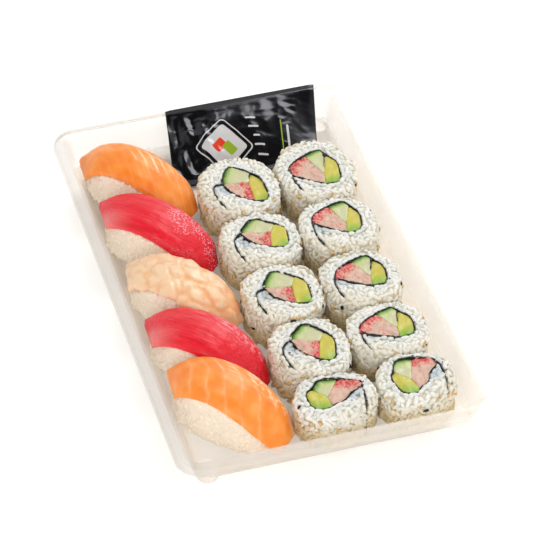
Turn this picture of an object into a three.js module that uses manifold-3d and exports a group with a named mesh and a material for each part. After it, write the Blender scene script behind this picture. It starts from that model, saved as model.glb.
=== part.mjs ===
// Takeaway sushi tray: a clear thermoformed tray that holds five nigiri side by side, ten inside-out
// rolls in two rows of five, and a sauce sachet leaning on the back rim.
//
// Millimetres, +Z up. +X runs across the tray and +Y along it, away from the front edge. The origin
// is on the ground under the middle of the tray, level with the bottoms of its four feet.

import * as THREE from 'three';
import { mergeVertices } from 'three/addons/utils/BufferGeometryUtils.js';
import Module from 'manifold-3d';

const wasm = await Module();
wasm.setup();

// ---------------------------------------------------------------- driving dimensions

const TRAY = {
  width: 158,          // over the lip
  length: 262,
  sheet: 0.7,          // thickness of the formed sheet
  lipZ: 18.4,          // lower edge of the rim's outer skirt
  shoulderInset: 1.8,  // where the skirt turns into the sloping rim
  shoulderZ: 22.1,
  ridgeInset: 6.5,     // top of the rim, where the inner wall starts
  ridgeZ: 23.2,
  ridgeRound: 0.4,     // half width of the narrow flat on top of the ridge
  skirtLean: 0.5,      // how far the skirt leans in over its height
  skirtRound: 1.1,     // height of the rounded edge between skirt and shoulder
  floorInset: 10.5,    // foot of the inner wall
  floorZ: 6.7,         // upper face of the floor
  fillet: 1,           // inner corner between wall and floor
  lipRadius: 13,       // corner radii in plan
  ridgeRadius: 5.5,
  floorRadius: 4,
  cornerSteps: 5,
};
const FOOT = { inset: 16.3, topRadius: 6.1, bottomRadius: 3.9, sides: 16 };

const GAP = 0.3;                        // clearance between neighbouring pieces
const FOOD_Z = TRAY.floorZ + GAP;       // underside of all food

const ROLL = {
  height: 21,
  squareness: 2.5,     // exponent of the outline: 2 is an ellipse
  // The side from the ground up: share of the outline, and height.
  profile: [[0.98, 0], [0.99, 2], [1, 7], [1.01, 12.5], [1.01, 17.5], [1, 20], [0.96, 21], [0.6, 20.9]],
  bump: 0.9,           // depth of the dents between rice grains
  proud: 0.4,          // share of that depth that stands out of the outline
  sag: 0.4,            // how much lower a grain may lie on the side
  edgeSag: 0.9,        // and at the upper edge
  sides: 26,
  noriGap: 0.75,       // room for the seaweed sheet between rice and fillings
  fillingGap: 0.2,     // each filling keeps this far inside its share of the hole
  fillingLow: 0.9,     // a filling's cut face lies up to this far below the rice
};
// Seeds lie within spread degrees of a roll's four corners, on a belt given by shares of its height.
const SEED = {
  length: 3.2, width: 1.9, thickness: 1.8, sunk: 0.6, perRoll: 5, spread: 22, beltFrom: 0.35, beltTo: 0.85,
};

// The rolls of each row, from the back: centre, half width and half depth, and how the row's slice
// pattern is turned (degrees), stretched and moved off the middle. The two at the front have a
// pattern of their own.
const ROLLS = {
  left: [
    { at: [2.6, 55.2], half: [19.9, 21.8], turn: 4, stretch: [0.95, 1.12], move: [0.4, -1.2] },
    { at: [1.2, 12.8], half: [19.8, 19.4], turn: -2, stretch: [1.08, 0.86], move: [0.6, 2.3] },
    { at: [0.4, -28.0], half: [19.5, 20.2], turn: 2, stretch: [1.0, 0.98], move: [0.6, 1.1] },
    { at: [1.8, -69.3], half: [19.1, 20.0], turn: -8, stretch: [1.0, 0.98], move: [0.2, 1.7] },
    { at: [3.2, -104.9], half: [19.6, 14.6], turn: -4, stretch: [1.08, 0.82], move: [-0.4, -0.1] },
  ],
  right: [
    { at: [43.8, 56.6], half: [19.5, 22.8], turn: 0, stretch: [1.02, 1.16], move: [-1.4, -1.2] },
    { at: [42.2, 12.4], half: [19.4, 20.1], turn: -3, stretch: [0.98, 1.0], move: [-0.4, 3.0] },
    { at: [40.5, -28.6], half: [19.4, 19.6], turn: 1, stretch: [1.0, 0.94], move: [0.4, 1.8] },
    { at: [41.6, -67.8], half: [19.3, 18.3], turn: 5, stretch: [1.06, 0.9], move: [-0.3, 1.3] },
    { at: [43.8, -103.4], half: [18.8, 16.2], turn: 8, stretch: [0.96, 0.98], move: [0.2, -0.4] },
  ],
};

// Slice patterns, seen from above and in millimetres from the roll's middle. The three fillings
// meet at one point, and each has its own stretch of the common outline, counted anticlockwise.
const CUTS = {
  left: {
    meet: [5.2, 1.2],
    avocado: [[3.2, -11.4], [10.8, -13.6], [12.4, 1.6], [8.4, 7.0]],
    cucumber: [[8.4, 7.0], [-0.8, 15.2], [-6.6, 8.0], [-8.4, 4.2]],
    crab: [[-8.4, 4.2], [-4.4, -5.6], [3.2, -11.4]],
  },
  right: {
    meet: [4.2, -3.2],
    avocado: [[2.8, -10.2], [10.6, -10.4], [12.6, 2.6], [8.6, 8.6]],
    cucumber: [[8.6, 8.6], [6.4, 13.0], [-1.6, 10.6]],
    crab: [[-1.6, 10.6], [-10.2, 6.2], [-12.6, 1.0], [-6.0, -4.4], [2.8, -10.2]],
  },
  front: {
    meet: [-2.8, -0.8],
    avocado: [[-8.6, 7.2], [-11.6, 4.2], [-11.0, -8.4], [-4.4, -10.4], [-1.8, -7.6]],
    crab: [[-1.8, -7.6], [3.8, -5.6], [7.2, 0.6], [14.2, 4.4], [12.2, 8.4], [3.6, 12.4]],
    cucumber: [[3.6, 12.4], [-4.6, 14.0], [-8.6, 7.2]],
  },
};

const NIGIRI = {
  riceHalf: [28.5, 13.9],
  riceShift: 1.3,        // the rice lies this far towards the rolls under its topping
  riceSkew: 0.55,       // how its wall end leans to lie along the wall
  riceSquareness: 3,
  // The side from the ground up: share of the outline, and share of the height under the topping.
  profile: [
    [0.97, 0], [1.04, 0.1], [1.04, 0.29], [1, 0.48], [0.97, 0.67], [0.92, 0.83], [0.75, 0.95], [0.4, 1],
  ],
  bump: 0.8,
  sides: 24,
};
// A topping is one slice bent over its rice: the way it points (degrees from +X), half length and
// half width in plan, thickness, crest height above the floor, how far the two ends and the sides
// hang below the crest, how much narrower and thinner the ends are, how blunt the side edges and flat
// the faces are, and at the wall end the bias of the cut and how far its back corner is rounded off.
const TOPPING = {
  yaw: -44.5, halfLength: 36, halfWidth: 13.6, thickness: 6.2, crest: 29, crestAt: -0.1,
  wallEndDrop: 13, rollEndDrop: 20, sideDrop: 2.4, taper: 0.4, bias: 7.8, cornerRound: 0.6,
  endThinning: 0.45, edgeBlunt: 0.6, faceFlat: 0.7, segments: 0, segmentDepth: 0.05, rings: 12, sides: 12,
};
// In order from the back, each beside the roll of the left row that it leans on.
const NIGIRI_PIECES = [
  { name: 'salmon_1', at: [-46.0, 82.3], topping: { halfWidth: 13, wallEndDrop: 15, bias: 6.5 } },
  { name: 'tuna_1', at: [-47.3, 39.3], topping: { crest: 29.4, thickness: 6.8, wallEndDrop: 10 } },
  { name: 'shrimp', at: [-47.2, -7.6],
    topping: {
      yaw: -47.5, halfLength: 35, halfWidth: 14, crestAt: 0, rollEndDrop: 17, bias: 6.6, segments: 5,
    } },
  { name: 'tuna_2', at: [-47.2, -49.4],
    topping: { halfWidth: 14, thickness: 7, crest: 30, crestAt: 0, rollEndDrop: 21 } },
  { name: 'salmon_2', at: [-47.2, -89.4],
    topping: { halfLength: 35.4, halfWidth: 14.6, crest: 32, wallEndDrop: 12, rollEndDrop: 23.2 } },
];

const SACHET = {
  topY: 127.3,         // the sealed top edge, laid on the rim
  bottomY: 83,
  bottomZ: 8.4,
  sag: 1.6,            // how steeply it falls from the rim: 1 is a straight line
  topLeft: -17, topRight: 64.2,
  leftSlant: 0.155, rightSlant: 0.24,   // how the side edges run in towards the lower left
  seal: 5,             // width of the flat sealed border
  film: 0.8,           // thickness there
  fill: 8,             // thickness of the filled middle
  endSwell: 14,        // how far from the seals it takes to swell to that, along the pouch
  sideSwell: 22,       // and from its sides
  rings: 12, sides: 18,
};

// ---------------------------------------------------------------- shared helpers

const radians = THREE.MathUtils.degToRad;

// A repeatable random number from 0 to 1 for each call.
function draws(seed) {
  let state = seed * 2654435761 >>> 0;
  return () => {
    state = (state + 0x6d2b79f5) >>> 0;
    let mixed = Math.imul(state ^ (state >>> 15), state | 1);
    mixed ^= mixed + Math.imul(mixed ^ (mixed >>> 7), mixed | 61);
    return ((mixed ^ (mixed >>> 14)) >>> 0) / 4294967296;
  };
}

// Joins rings of equal, even length into one closed skin. Each end is closed like a ladder, from
// the point where the ring starts to the one opposite.
function loft(rings) {
  const sides = rings[0].length;
  const points = rings.flat();
  const faces = [];
  for (let ring = 0; ring + 1 < rings.length; ring++) {
    for (let side = 0; side < sides; side++) {
      const a = ring * sides + side;
      const b = ring * sides + (side + 1) % sides;
      faces.push(a, b, b + sides, a, b + sides, a + sides);
    }
  }
  const last = (rings.length - 1) * sides;
  for (let side = 0; side < sides / 2; side++) {
    const [a, b, c, d] = [side, side + 1, sides - side - 1, (sides - side) % sides];
    if (b !== c) faces.push(a, c, b, last + a, last + b, last + c);
    if (a !== d) faces.push(a, d, c, last + a, last + c, last + d);
  }
  return facingOut(points, faces);
}

function facingOut(points, faces) {
  let volume = 0;
  for (let i = 0; i < faces.length; i += 3) {
    const [a, b, c] = [points[faces[i]], points[faces[i + 1]], points[faces[i + 2]]];
    volume += a.dot(new THREE.Vector3().crossVectors(b, c));
  }
  const geometry = new THREE.BufferGeometry().setFromPoints(points);
  geometry.setIndex(volume < 0 ? faces.slice().reverse() : faces);
  return geometry;
}

function toSolid(geometry) {
  const bare = geometry.clone();
  bare.deleteAttribute('normal');
  bare.deleteAttribute('uv');
  const merged = mergeVertices(bare, 1e-5);
  return new wasm.Manifold(new wasm.Mesh({
    numProp: 3,
    vertProperties: new Float32Array(merged.attributes.position.array),
    triVerts: new Uint32Array(merged.index.array),
  }));
}

function toGeometry(solid) {
  const mesh = solid.getMesh();
  const geometry = new THREE.BufferGeometry();
  geometry.setAttribute('position', new THREE.BufferAttribute(mesh.vertProperties, 3));
  geometry.setIndex(new THREE.BufferAttribute(mesh.triVerts, 1));
  geometry.computeVertexNormals();
  return geometry;
}

function piece(name, geometry, material) {
  const mesh = new THREE.Mesh(geometry, material);
  mesh.name = name;
  return mesh;
}

// A rounded rectangle, anticlockwise from above.
function roundedRing(halfX, halfY, radius, z) {
  const ring = [];
  for (let corner = 0; corner < 4; corner++) {
    const signX = corner === 0 || corner === 3 ? 1 : -1;
    const signY = corner < 2 ? 1 : -1;
    for (let step = 0; step <= TRAY.cornerSteps; step++) {
      const angle = (corner + step / TRAY.cornerSteps) * Math.PI / 2;
      ring.push(new THREE.Vector3(
        signX * (halfX - radius) + radius * Math.cos(angle),
        signY * (halfY - radius) + radius * Math.sin(angle),
        z,
      ));
    }
  }
  return ring;
}

// An ellipse with squared shoulders: the distance to its edge along one direction.
function squaredReach(halfX, halfY, exponent, angle) {
  const x = Math.abs(Math.cos(angle) / halfX);
  const y = Math.abs(Math.sin(angle) / halfY);
  return (x ** exponent + y ** exponent) ** (-1 / exponent);
}

// Moves every edge of an anticlockwise outline sideways: inwards if positive, outwards if negative.
function insetOutline(points, distance) {
  const edges = points.map((point, i) => {
    const next = points[(i + 1) % points.length];
    const along = new THREE.Vector2().subVectors(next, point).normalize();
    const inward = new THREE.Vector2(-along.y, along.x);
    return { start: point.clone().addScaledVector(inward, distance), along };
  });
  return edges.map((edge, i) => {
    const before = edges[(i + edges.length - 1) % edges.length];
    const cross = before.along.cross(edge.along);
    const apart = new THREE.Vector2().subVectors(edge.start, before.start);
    return before.start.clone().addScaledVector(before.along, apart.cross(edge.along) / cross);
  });
}

// ---------------------------------------------------------------- materials

const finish = (color, roughness, extra = {}) =>
  new THREE.MeshStandardMaterial({ color, roughness, metalness: 0, ...extra });
const clearPlastic = finish('#e9e6e1', 0.08, { transparent: true, opacity: 0.3 });
const blackFilm = finish('#141416', 0.25);
const whiteRice = finish('#efece4', 0.55);
const toppingFinish = {
  salmon: finish('#f48a3c', 0.35),
  tuna: finish('#d8283c', 0.3),
  shrimp: finish('#f4c6a4', 0.4),
};
const fillingFinish = {
  crab: finish('#eeb4a8', 0.5),
  cucumber: finish('#b9cf86', 0.35),
  avocado: finish('#c8cf52', 0.4),
};

// ---------------------------------------------------------------- tray

// One formed sheet: the rings run from the middle of the floor up the wall, over the rim and back
// under it to the middle of the underside. The feet are cups pressed down out of the floor.
function tray() {
  const t = TRAY;
  const radiusAt = (inset) => (inset < t.ridgeInset
    ? THREE.MathUtils.lerp(t.lipRadius, t.ridgeRadius, inset / t.ridgeInset)
    : THREE.MathUtils.mapLinear(inset, t.ridgeInset, t.floorInset, t.ridgeRadius, t.floorRadius));
  const ring = (inset, z) => roundedRing(t.width / 2 - inset, t.length / 2 - inset, radiusAt(inset), z);
  const under = t.floorZ - t.sheet;
  const shell = toSolid(loft([
    ring(t.floorInset + t.fillet, t.floorZ),
    ring(t.floorInset, t.floorZ + t.fillet),
    ring(t.ridgeInset + t.ridgeRound, t.ridgeZ - t.ridgeRound),
    ring(t.ridgeInset - t.ridgeRound, t.ridgeZ),
    ring(t.shoulderInset, t.shoulderZ),
    ring(t.skirtLean, t.shoulderZ - t.skirtRound),
    ring(0, t.lipZ),
    ring(t.sheet, t.lipZ),
    ring(t.sheet + t.skirtLean, t.shoulderZ - t.skirtRound - t.sheet * 0.7),
    ring(t.shoulderInset + t.sheet * 0.4, t.shoulderZ - t.sheet),
    ring(t.ridgeInset - t.sheet, t.ridgeZ - t.sheet),
    ring(t.floorInset - t.sheet, t.floorZ + t.fillet - t.sheet * 0.3),
    ring(t.floorInset + t.fillet - t.sheet * 0.7, under),
  ]));
  const cup = (top, bottom, z0, z1) => {
    const geometry = new THREE.CylinderGeometry(top, bottom, z1 - z0, FOOT.sides);
    geometry.rotateX(Math.PI / 2).translate(0, 0, (z0 + z1) / 2);
    return geometry;
  };
  let solid = shell;
  for (const sideX of [-1, 1]) {
    for (const sideY of [-1, 1]) {
      const x = sideX * (t.width / 2 - FOOT.inset);
      const y = sideY * (t.length / 2 - FOOT.inset);
      const outer = cup(FOOT.topRadius, FOOT.bottomRadius, 0, under + t.sheet / 2).translate(x, y, 0);
      const hollow = cup(FOOT.topRadius - t.sheet, FOOT.bottomRadius - t.sheet, t.sheet, t.floorZ + 0.1);
      solid = solid.add(toSolid(outer)).subtract(toSolid(hollow.translate(x, y, 0)));
    }
  }
  return toGeometry(solid);
}

// ---------------------------------------------------------------- rolls

// Rice ring: a dented drum with a rounded edge, its hole cut later to the fillings.
function riceDrum(half, random) {
  const rings = ROLL.profile.map(([scale, z], level) => Array.from({ length: ROLL.sides }, (_, side) => {
    const angle = (side + (level % 2) / 2) * 2 * Math.PI / ROLL.sides;
    const dent = level === 0 ? 0 : (random() - ROLL.proud) * ROLL.bump;
    const drop = level === 0 ? 0 : random() * (z > ROLL.height - 2 ? ROLL.edgeSag : ROLL.sag);
    const reach = squaredReach(half[0], half[1], ROLL.squareness, angle) * scale - dent;
    return new THREE.Vector3(reach * Math.cos(angle), reach * Math.sin(angle), Math.max(0, z - drop));
  }));
  return toSolid(loft(rings));
}

// Sesame seeds pressed into the side, at the corners where the rolls leave room between them.
function addSeeds(drum, half, random) {
  let solid = drum;
  for (let i = 0; i < SEED.perRoll; i++) {
    const angle = radians(45 + 90 * (i % 4) + (2 * random() - 1) * SEED.spread);
    const reach = squaredReach(half[0], half[1], ROLL.squareness, angle) - SEED.sunk;
    const seed = new THREE.SphereGeometry(0.5, 5, 3);
    seed.scale(SEED.thickness, SEED.width, SEED.length);
    seed.rotateX((random() - 0.5) * Math.PI);
    seed.rotateZ(angle);
    const share = THREE.MathUtils.lerp(SEED.beltFrom, SEED.beltTo, random());
    seed.translate(reach * Math.cos(angle), reach * Math.sin(angle), ROLL.height * share);
    solid = solid.add(toSolid(seed));
  }
  return solid;
}

function placedCut(roll) {
  const cut = CUTS[roll.cut];
  const place = ([x, y]) => new THREE.Vector2(x * roll.stretch[0], y * roll.stretch[1])
    .rotateAround(new THREE.Vector2(), radians(roll.turn))
    .add(new THREE.Vector2(...roll.move));
  return Object.fromEntries(Object.entries(cut).map(([key, value]) =>
    [key, key === 'meet' ? place(value) : value.map(place)]));
}

function prism(outline, z0, z1) {
  const options = { depth: z1 - z0, bevelEnabled: false };
  return new THREE.ExtrudeGeometry(new THREE.Shape(outline), options).translate(0, 0, z0);
}

function roll(spec, index) {
  const random = draws(index + 11);
  const cut = placedCut(spec);
  const kinds = Object.keys(cut).filter((key) => key !== 'meet');
  const outline = kinds.flatMap((kind) => cut[kind].slice(0, -1));
  const hole = toSolid(prism(insetOutline(outline, -ROLL.noriGap), -1, ROLL.height + 1));
  const rice = addSeeds(riceDrum(spec.half, random), spec.half, random).subtract(hole);
  const group = new THREE.Group();
  group.add(piece(`roll_${spec.name}_rice`, toGeometry(rice), whiteRice));
  for (const kind of kinds) {
    const share = insetOutline([cut.meet, ...cut[kind]], ROLL.fillingGap);
    const top = ROLL.height - ROLL.fillingLow * (1 - 0.9 * random());
    group.add(piece(`roll_${spec.name}_${kind}`, prism(share, 0, top), fillingFinish[kind]));
  }
  group.position.set(...spec.at, FOOD_Z);
  return group;
}

// ---------------------------------------------------------------- nigiri

// Height of the topping's middle layer along its length, from -1 at the wall end to 1 at the roll end.
function crestLine(form, along) {
  const wallward = Math.max(0, (form.crestAt - along) / (1 + form.crestAt));
  const rollward = Math.max(0, (along - form.crestAt) / (1 - form.crestAt));
  const drop = form.wallEndDrop * wallward ** 2 + form.rollEndDrop * rollward ** 2;
  return form.crest - form.thickness / 2 - drop;
}

// How far the slanting cut moves the wall end towards the rolls, from across -1, the front side, to 1.
function endBias(form, across) {
  const corner = form.cornerRound * (Math.max(0, across) ** 4 - 1 / 3);
  return form.bias * (1 - across + corner);
}

// The topping as a bent slab; extra makes it larger on all sides, to cut the rice with clearance.
function toppingSlab(form, extra = 0) {
  const rings = [];
  for (let i = 0; i <= form.rings; i++) {
    const share = -1 + 2 * i / form.rings;
    const along = share * (1 + extra / form.halfLength);
    const step = 0.01;
    const rise = crestLine(form, along + step) - crestLine(form, along - step);
    const slope = Math.atan2(rise, 2 * step * form.halfLength);
    const scallop = form.segments ? form.segmentDepth * Math.cos(share * form.segments * Math.PI) : 0;
    const halfWidth = form.halfWidth * (1 - form.taper * share ** 4 + scallop) + 2 * extra;
    const halfThick = form.thickness / 2 * (1 - form.endThinning * share ** 6) + extra;
    const ring = [];
    for (let side = 0; side < form.sides; side++) {
      const angle = 2 * Math.PI * side / form.sides;
      const across = Math.sign(Math.cos(angle)) * Math.abs(Math.cos(angle)) ** form.edgeBlunt;
      const out = Math.sign(Math.sin(angle)) * Math.abs(Math.sin(angle)) ** form.faceFlat * halfThick;
      const bias = endBias(form, across) * Math.max(0, -share) ** 2;
      ring.push(new THREE.Vector3(
        along * form.halfLength + bias - out * Math.sin(slope),
        across * halfWidth,
        crestLine(form, along) + out * Math.cos(slope) - form.sideDrop * across ** 2,
      ));
    }
    rings.push(ring);
  }
  return loft(rings);
}

// Where a point of the plan lies along the topping: the inverse of the shift that the bias gives.
function alongAt(form, x, y) {
  const bias = endBias(form, THREE.MathUtils.clamp(y / form.halfWidth, -1, 1));
  let along = x / form.halfLength;
  for (let round = 0; round < 6; round++) along = (x - bias * Math.max(0, -along) ** 2) / form.halfLength;
  return along;
}

// Rice finger: a dented block with rounded ends and a flat underside, no higher than the middle of
// the topping that lies on it.
function riceFinger(form, random) {
  const [halfX, halfY] = NIGIRI.riceHalf;
  const { profile, sides } = NIGIRI;
  const rings = profile.map(([scale, share], level) => Array.from({ length: sides }, (_, side) => {
    const angle = (side + (level % 2) / 2) * 2 * Math.PI / sides;
    const dent = random() * NIGIRI.bump;
    const reach = squaredReach(halfX, halfY, NIGIRI.riceSquareness, angle) * scale - dent;
    const y = reach * Math.sin(angle);
    const skew = NIGIRI.riceSkew * Math.max(0, -Math.cos(angle)) * y;
    const x = reach * Math.cos(angle) + NIGIRI.riceShift - skew;
    return new THREE.Vector3(x, y, share * crestLine(form, alongAt(form, x, y)));
  }));
  return toSolid(loft(rings));
}

// The space a roll takes up, seen from a nigiri's own frame: the tip of the topping ends at it.
function rollSpace(beside, at, yaw) {
  const widest = Math.max(...ROLL.profile.map(([scale]) => scale));
  const [halfX, halfY] = beside.half.map((half) => half * widest + ROLL.bump * ROLL.proud + GAP);
  const outline = Array.from({ length: ROLL.sides }, (_, side) => {
    const angle = side * 2 * Math.PI / ROLL.sides;
    const reach = squaredReach(halfX, halfY, ROLL.squareness, angle);
    return new THREE.Vector2(reach * Math.cos(angle), reach * Math.sin(angle));
  });
  const space = prism(outline, -1, ROLL.height + TOPPING.crest);
  return toSolid(space.translate(beside.at[0] - at[0], beside.at[1] - at[1], 0).rotateZ(-radians(yaw)));
}

function nigiri(spec, index) {
  const form = { ...TOPPING, ...spec.topping };
  const kind = spec.name.split('_')[0];
  const rice = riceFinger(form, draws(index + 41)).subtract(toSolid(toppingSlab(form, 2.5 * GAP)));
  const topping = toSolid(toppingSlab(form)).subtract(rollSpace(ROLLS.left[index], spec.at, form.yaw));
  const group = new THREE.Group();
  group.add(piece(`nigiri_${spec.name}_rice`, toGeometry(rice), whiteRice));
  group.add(piece(`nigiri_${spec.name}_topping`, toGeometry(topping), toppingFinish[kind]));
  group.position.set(...spec.at, FOOD_Z);
  group.rotation.z = radians(form.yaw);
  return group;
}

// ---------------------------------------------------------------- sachet

// From 0 at the inner edge of a seal to 1 where the pouch is full.
const swollen = (share) => Math.sin(Math.PI / 2 * THREE.MathUtils.clamp(share, 0, 1));

// A flat pouch with sealed borders, filled in the middle, laid from the rim down to the floor.
function sachet() {
  const s = SACHET;
  const ridgeY = TRAY.length / 2 - TRAY.ridgeInset + 0.4;
  const restZ = TRAY.ridgeZ + GAP + s.film / 2;
  const rings = [];
  for (let i = 0; i <= s.rings; i++) {
    const y = THREE.MathUtils.lerp(s.topY, s.bottomY, i / s.rings);
    const above = Math.min(1, (y - s.bottomY) / (ridgeY - 1.5 - s.bottomY));
    const z = s.bottomZ + (restZ - s.bottomZ) * above ** s.sag;
    const left = s.topLeft - s.leftSlant * (s.topY - y);
    const right = s.topRight - s.rightSlant * (s.topY - y);
    const fromEnd = Math.min(s.topY - y, y - s.bottomY);
    const fullAlong = swollen((fromEnd - s.seal) / s.endSwell);
    const ring = [];
    for (let side = 0; side < s.sides; side++) {
      const angle = 2 * Math.PI * side / s.sides;
      const across = Math.cos(angle);
      const x = THREE.MathUtils.lerp(left, right, (1 - across) / 2);
      const fromSide = Math.min(x - left, right - x);
      const fullAcross = swollen((fromSide - s.seal) / s.sideSwell);
      const half = s.film / 2 + (s.fill - s.film) / 2 * fullAlong * fullAcross;
      ring.push(new THREE.Vector3(x, y, z + Math.sign(Math.round(Math.sin(angle) * 1e6)) * half));
    }
    rings.push(ring);
  }
  return loft(rings);
}

// ---------------------------------------------------------------- assembly

const sushiTray = new THREE.Group();
sushiTray.add(piece('tray', tray(), clearPlastic));
sushiTray.add(piece('sachet', sachet(), blackFilm));
NIGIRI_PIECES.forEach((spec, index) => sushiTray.add(nigiri(spec, index)));
Object.entries(ROLLS).forEach(([row, specs], rowIndex) => specs.forEach((spec, index) => {
  const atFront = index === specs.length - 1;
  const named = { ...spec, cut: atFront ? 'front' : row, name: `${row}_${index + 1}` };
  sushiTray.add(roll(named, rowIndex * specs.length + index));
}));

export default sushiTray;
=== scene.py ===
"""Takeaway sushi tray: five nigiri, ten inside-out rolls and a sauce sachet in a clear formed tray.

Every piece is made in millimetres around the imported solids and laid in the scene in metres.
"""

import math

import bmesh
import bpy
import numpy as np
from mathutils import Matrix, Vector, noise
from mathutils.bvhtree import BVHTree
from mathutils.geometry import convex_hull_2d, tessellate_polygon
from mathutils.kdtree import KDTree


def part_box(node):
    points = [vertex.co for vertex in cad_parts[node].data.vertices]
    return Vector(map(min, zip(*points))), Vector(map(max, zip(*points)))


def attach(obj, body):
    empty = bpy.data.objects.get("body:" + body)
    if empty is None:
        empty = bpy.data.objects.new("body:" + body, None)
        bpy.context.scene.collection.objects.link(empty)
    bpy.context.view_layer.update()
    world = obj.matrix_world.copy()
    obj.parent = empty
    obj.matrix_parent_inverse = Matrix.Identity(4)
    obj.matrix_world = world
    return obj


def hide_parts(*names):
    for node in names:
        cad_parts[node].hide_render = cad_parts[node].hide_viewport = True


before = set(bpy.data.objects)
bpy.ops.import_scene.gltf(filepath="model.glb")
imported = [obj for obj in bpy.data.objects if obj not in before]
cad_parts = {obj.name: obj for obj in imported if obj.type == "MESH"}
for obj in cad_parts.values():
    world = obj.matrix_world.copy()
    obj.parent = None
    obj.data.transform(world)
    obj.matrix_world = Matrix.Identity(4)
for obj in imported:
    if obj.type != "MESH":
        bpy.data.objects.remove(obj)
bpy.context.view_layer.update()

bl_info = {
    "name": "Takeaway Sushi Tray",
    "version": (1, 0, 0),
    "blender": (4, 5, 0),
    "location": "3D View > Sidebar > Sushi",
    "description": "Makes a clear takeaway tray with nigiri, inside-out rolls and a sauce sachet",
    "category": "Add Mesh",
}

MM = 0.001
RICE_NODES = sorted(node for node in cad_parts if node.endswith("_rice"))
ROLLS = [node.removesuffix("_rice") for node in RICE_NODES if node.startswith("roll_")]
NIGIRI = [node.removesuffix("_rice") for node in RICE_NODES if node.startswith("nigiri_")]
FILLINGS = ("crab", "cucumber", "avocado")
TRAY_LOW, TRAY_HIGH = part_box("tray")
HALF_X, HALF_Y = (TRAY_HIGH.x - TRAY_LOW.x) / 2 / MM, (TRAY_HIGH.y - TRAY_LOW.y) / 2 / MM
FOOD_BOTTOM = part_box("roll_left_1_rice")[0].z / MM
ROLL_HEIGHT = 21.0


def linear(code):
    """An sRGB hex colour as linear red, green and blue."""
    channels = [int(code[i:i + 2], 16) / 255 for i in (1, 3, 5)]
    return [c / 12.92 if c <= 0.04045 else ((c + 0.055) / 1.055) ** 2.4 for c in channels]


def shade(colour):
    """A hex code, a level of grey, or linear red, green and blue, as a node's four numbers."""
    if isinstance(colour, str):
        colour = linear(colour)
    elif isinstance(colour, float):
        colour = [colour] * 3
    return [*colour, 1.0]


# ---------------------------------------------------------------- settings


def length(name, description, millimetres, low=0.0):
    """A length setting, given in millimetres."""
    return bpy.props.FloatProperty(
        name=name, description=description, default=millimetres * MM, min=low * MM, unit="LENGTH", precision=4
    )


def tint(name, description, code):
    """A colour setting, given as a hex code."""
    return bpy.props.FloatVectorProperty(
        name=name, description=description, default=linear(code), size=3, min=0, max=1, subtype="COLOR"
    )


def bearing(name, description, degrees):
    """An angle setting, given in degrees."""
    return bpy.props.FloatProperty(
        name=name, description=description, default=math.radians(degrees), subtype="ANGLE"
    )


def tally(name, description, default, low=0):
    """A setting that counts pieces."""
    return bpy.props.IntProperty(name=name, description=description, default=default, min=low)


def portion(name, description, part):
    """A setting from 0 to 1."""
    return bpy.props.FloatProperty(name=name, description=description, default=part, min=0, max=1)


class TraySettings(bpy.types.PropertyGroup):
    """The clear tray"""
    sheet: length("Sheet", "Thickness of the formed plastic", 0.7, 0.2)
    # Painted shade: this darker tint shows on the left wall; the other walls take the floor's tint.
    left_wall_shade: tint("Wall", "Tint of the milky walls, drawn thin", "#BDB3A7")
    floor: tint("Floor", "Tint of the milky floor", "#F3EBE1")
    wall_haze: portion("Wall haze", "How much one face of the wall hides", 0.28)
    floor_haze: portion("Floor haze", "How much one face of the floor hides", 0.55)
    foot_haze: portion("Foot haze", "How much one face of a foot hides at its bottom", 0.4)


class RiceSettings(bpy.types.PropertyGroup):
    """The rice of the rolls and of the nigiri"""
    grain_length: length("Grain length", "Length of one cooked grain", 5.4, 1)
    grain_width: length("Grain width", "Width of one cooked grain", 2.4, 0.5)
    spacing: length("Spacing", "Distance between the middles of neighbouring grains", 1.8, 1)
    white: tint("White", "Colour of the grains on the cut faces", "#F2F0E9")
    # Painted shade: grains low on the sides of the rolls and towards their outer edge take this darker cream.
    low_shade: tint("Cream", "Colour of the grains low on the sides", "#CDB88C")
    # Painted shade: grains in the dip beside the seaweed's free end and close inside the seaweed take this
    # cool grey.
    pocket_shade: tint("Cool", "Colour of the grains inside the seaweed", "#C9D2D8")
    warm: tint("Warm", "Colour of the pressed grains under the toppings", "#FBEAD5")
    # Painted shade: the rice between its grains takes this darker tan.
    crease: tint("Crease", "Colour deep between the grains", "#BDB28C")


class FillingSettings(bpy.types.PropertyGroup):
    """The seaweed and the fillings of the rolls"""
    seaweed_thickness: length("Seaweed", "Thickness of the damp seaweed sheet", 0.22, 0.1)
    seaweed_rise: length("Seaweed rise", "How far the seaweed stands out of the cut face", 0.0)
    crumbs: tally("Crumbs", "Crumbs of seaweed on each roll", 22, 1)
    skin: tint("Cucumber skin", "Outside of the cucumber", "#3F6A1E")
    flesh: tint("Cucumber flesh", "Inside of the cucumber", "#CBCAA1")
    ripe: tint("Avocado yellow", "Avocado next to the stone", "#CABE50")
    green: tint("Avocado green", "Avocado next to the peel", "#82AE2C")
    crab: tint("Crab stick", "Pale strands of the crab stick", "#D9B6A4")
    crab_red: tint("Crab red", "Dyed outside of the crab stick", "#CF4A48")


class ToppingSettings(bpy.types.PropertyGroup):
    """The slices on the nigiri"""
    yaw: bearing("Yaw", "Which way the nigiri point, from the tray's width", -44.5)
    salmon: tint("Salmon", "Flesh of the salmon", "#FA9133")
    fat: tint("Salmon fat", "Fat lines of the salmon", "#FFDCB4")
    tuna: tint("Tuna", "Flesh of the tuna", "#E6162A")
    prawn: tint("Prawn", "White flesh of the cooked prawn", "#F3D0AB")
    prawn_band: tint("Prawn bands", "Peach bands of the cooked prawn", "#F2AC78")


class SachetSettings(bpy.types.PropertyGroup):
    """The sauce sachet"""
    film: tint("Film", "Black laminate film", "#0B0A0C")
    ink: tint("Ink", "Pale ink of the printed shapes", "#C9C7C8")
    red: tint("Red ink", "Red of the printed shapes", "#D8412A")
    olive: tint("Green ink", "Green of the printed shapes", "#8FA928")
    crease: length("Crease", "Depth of the creases in the film", 1.1)


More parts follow.
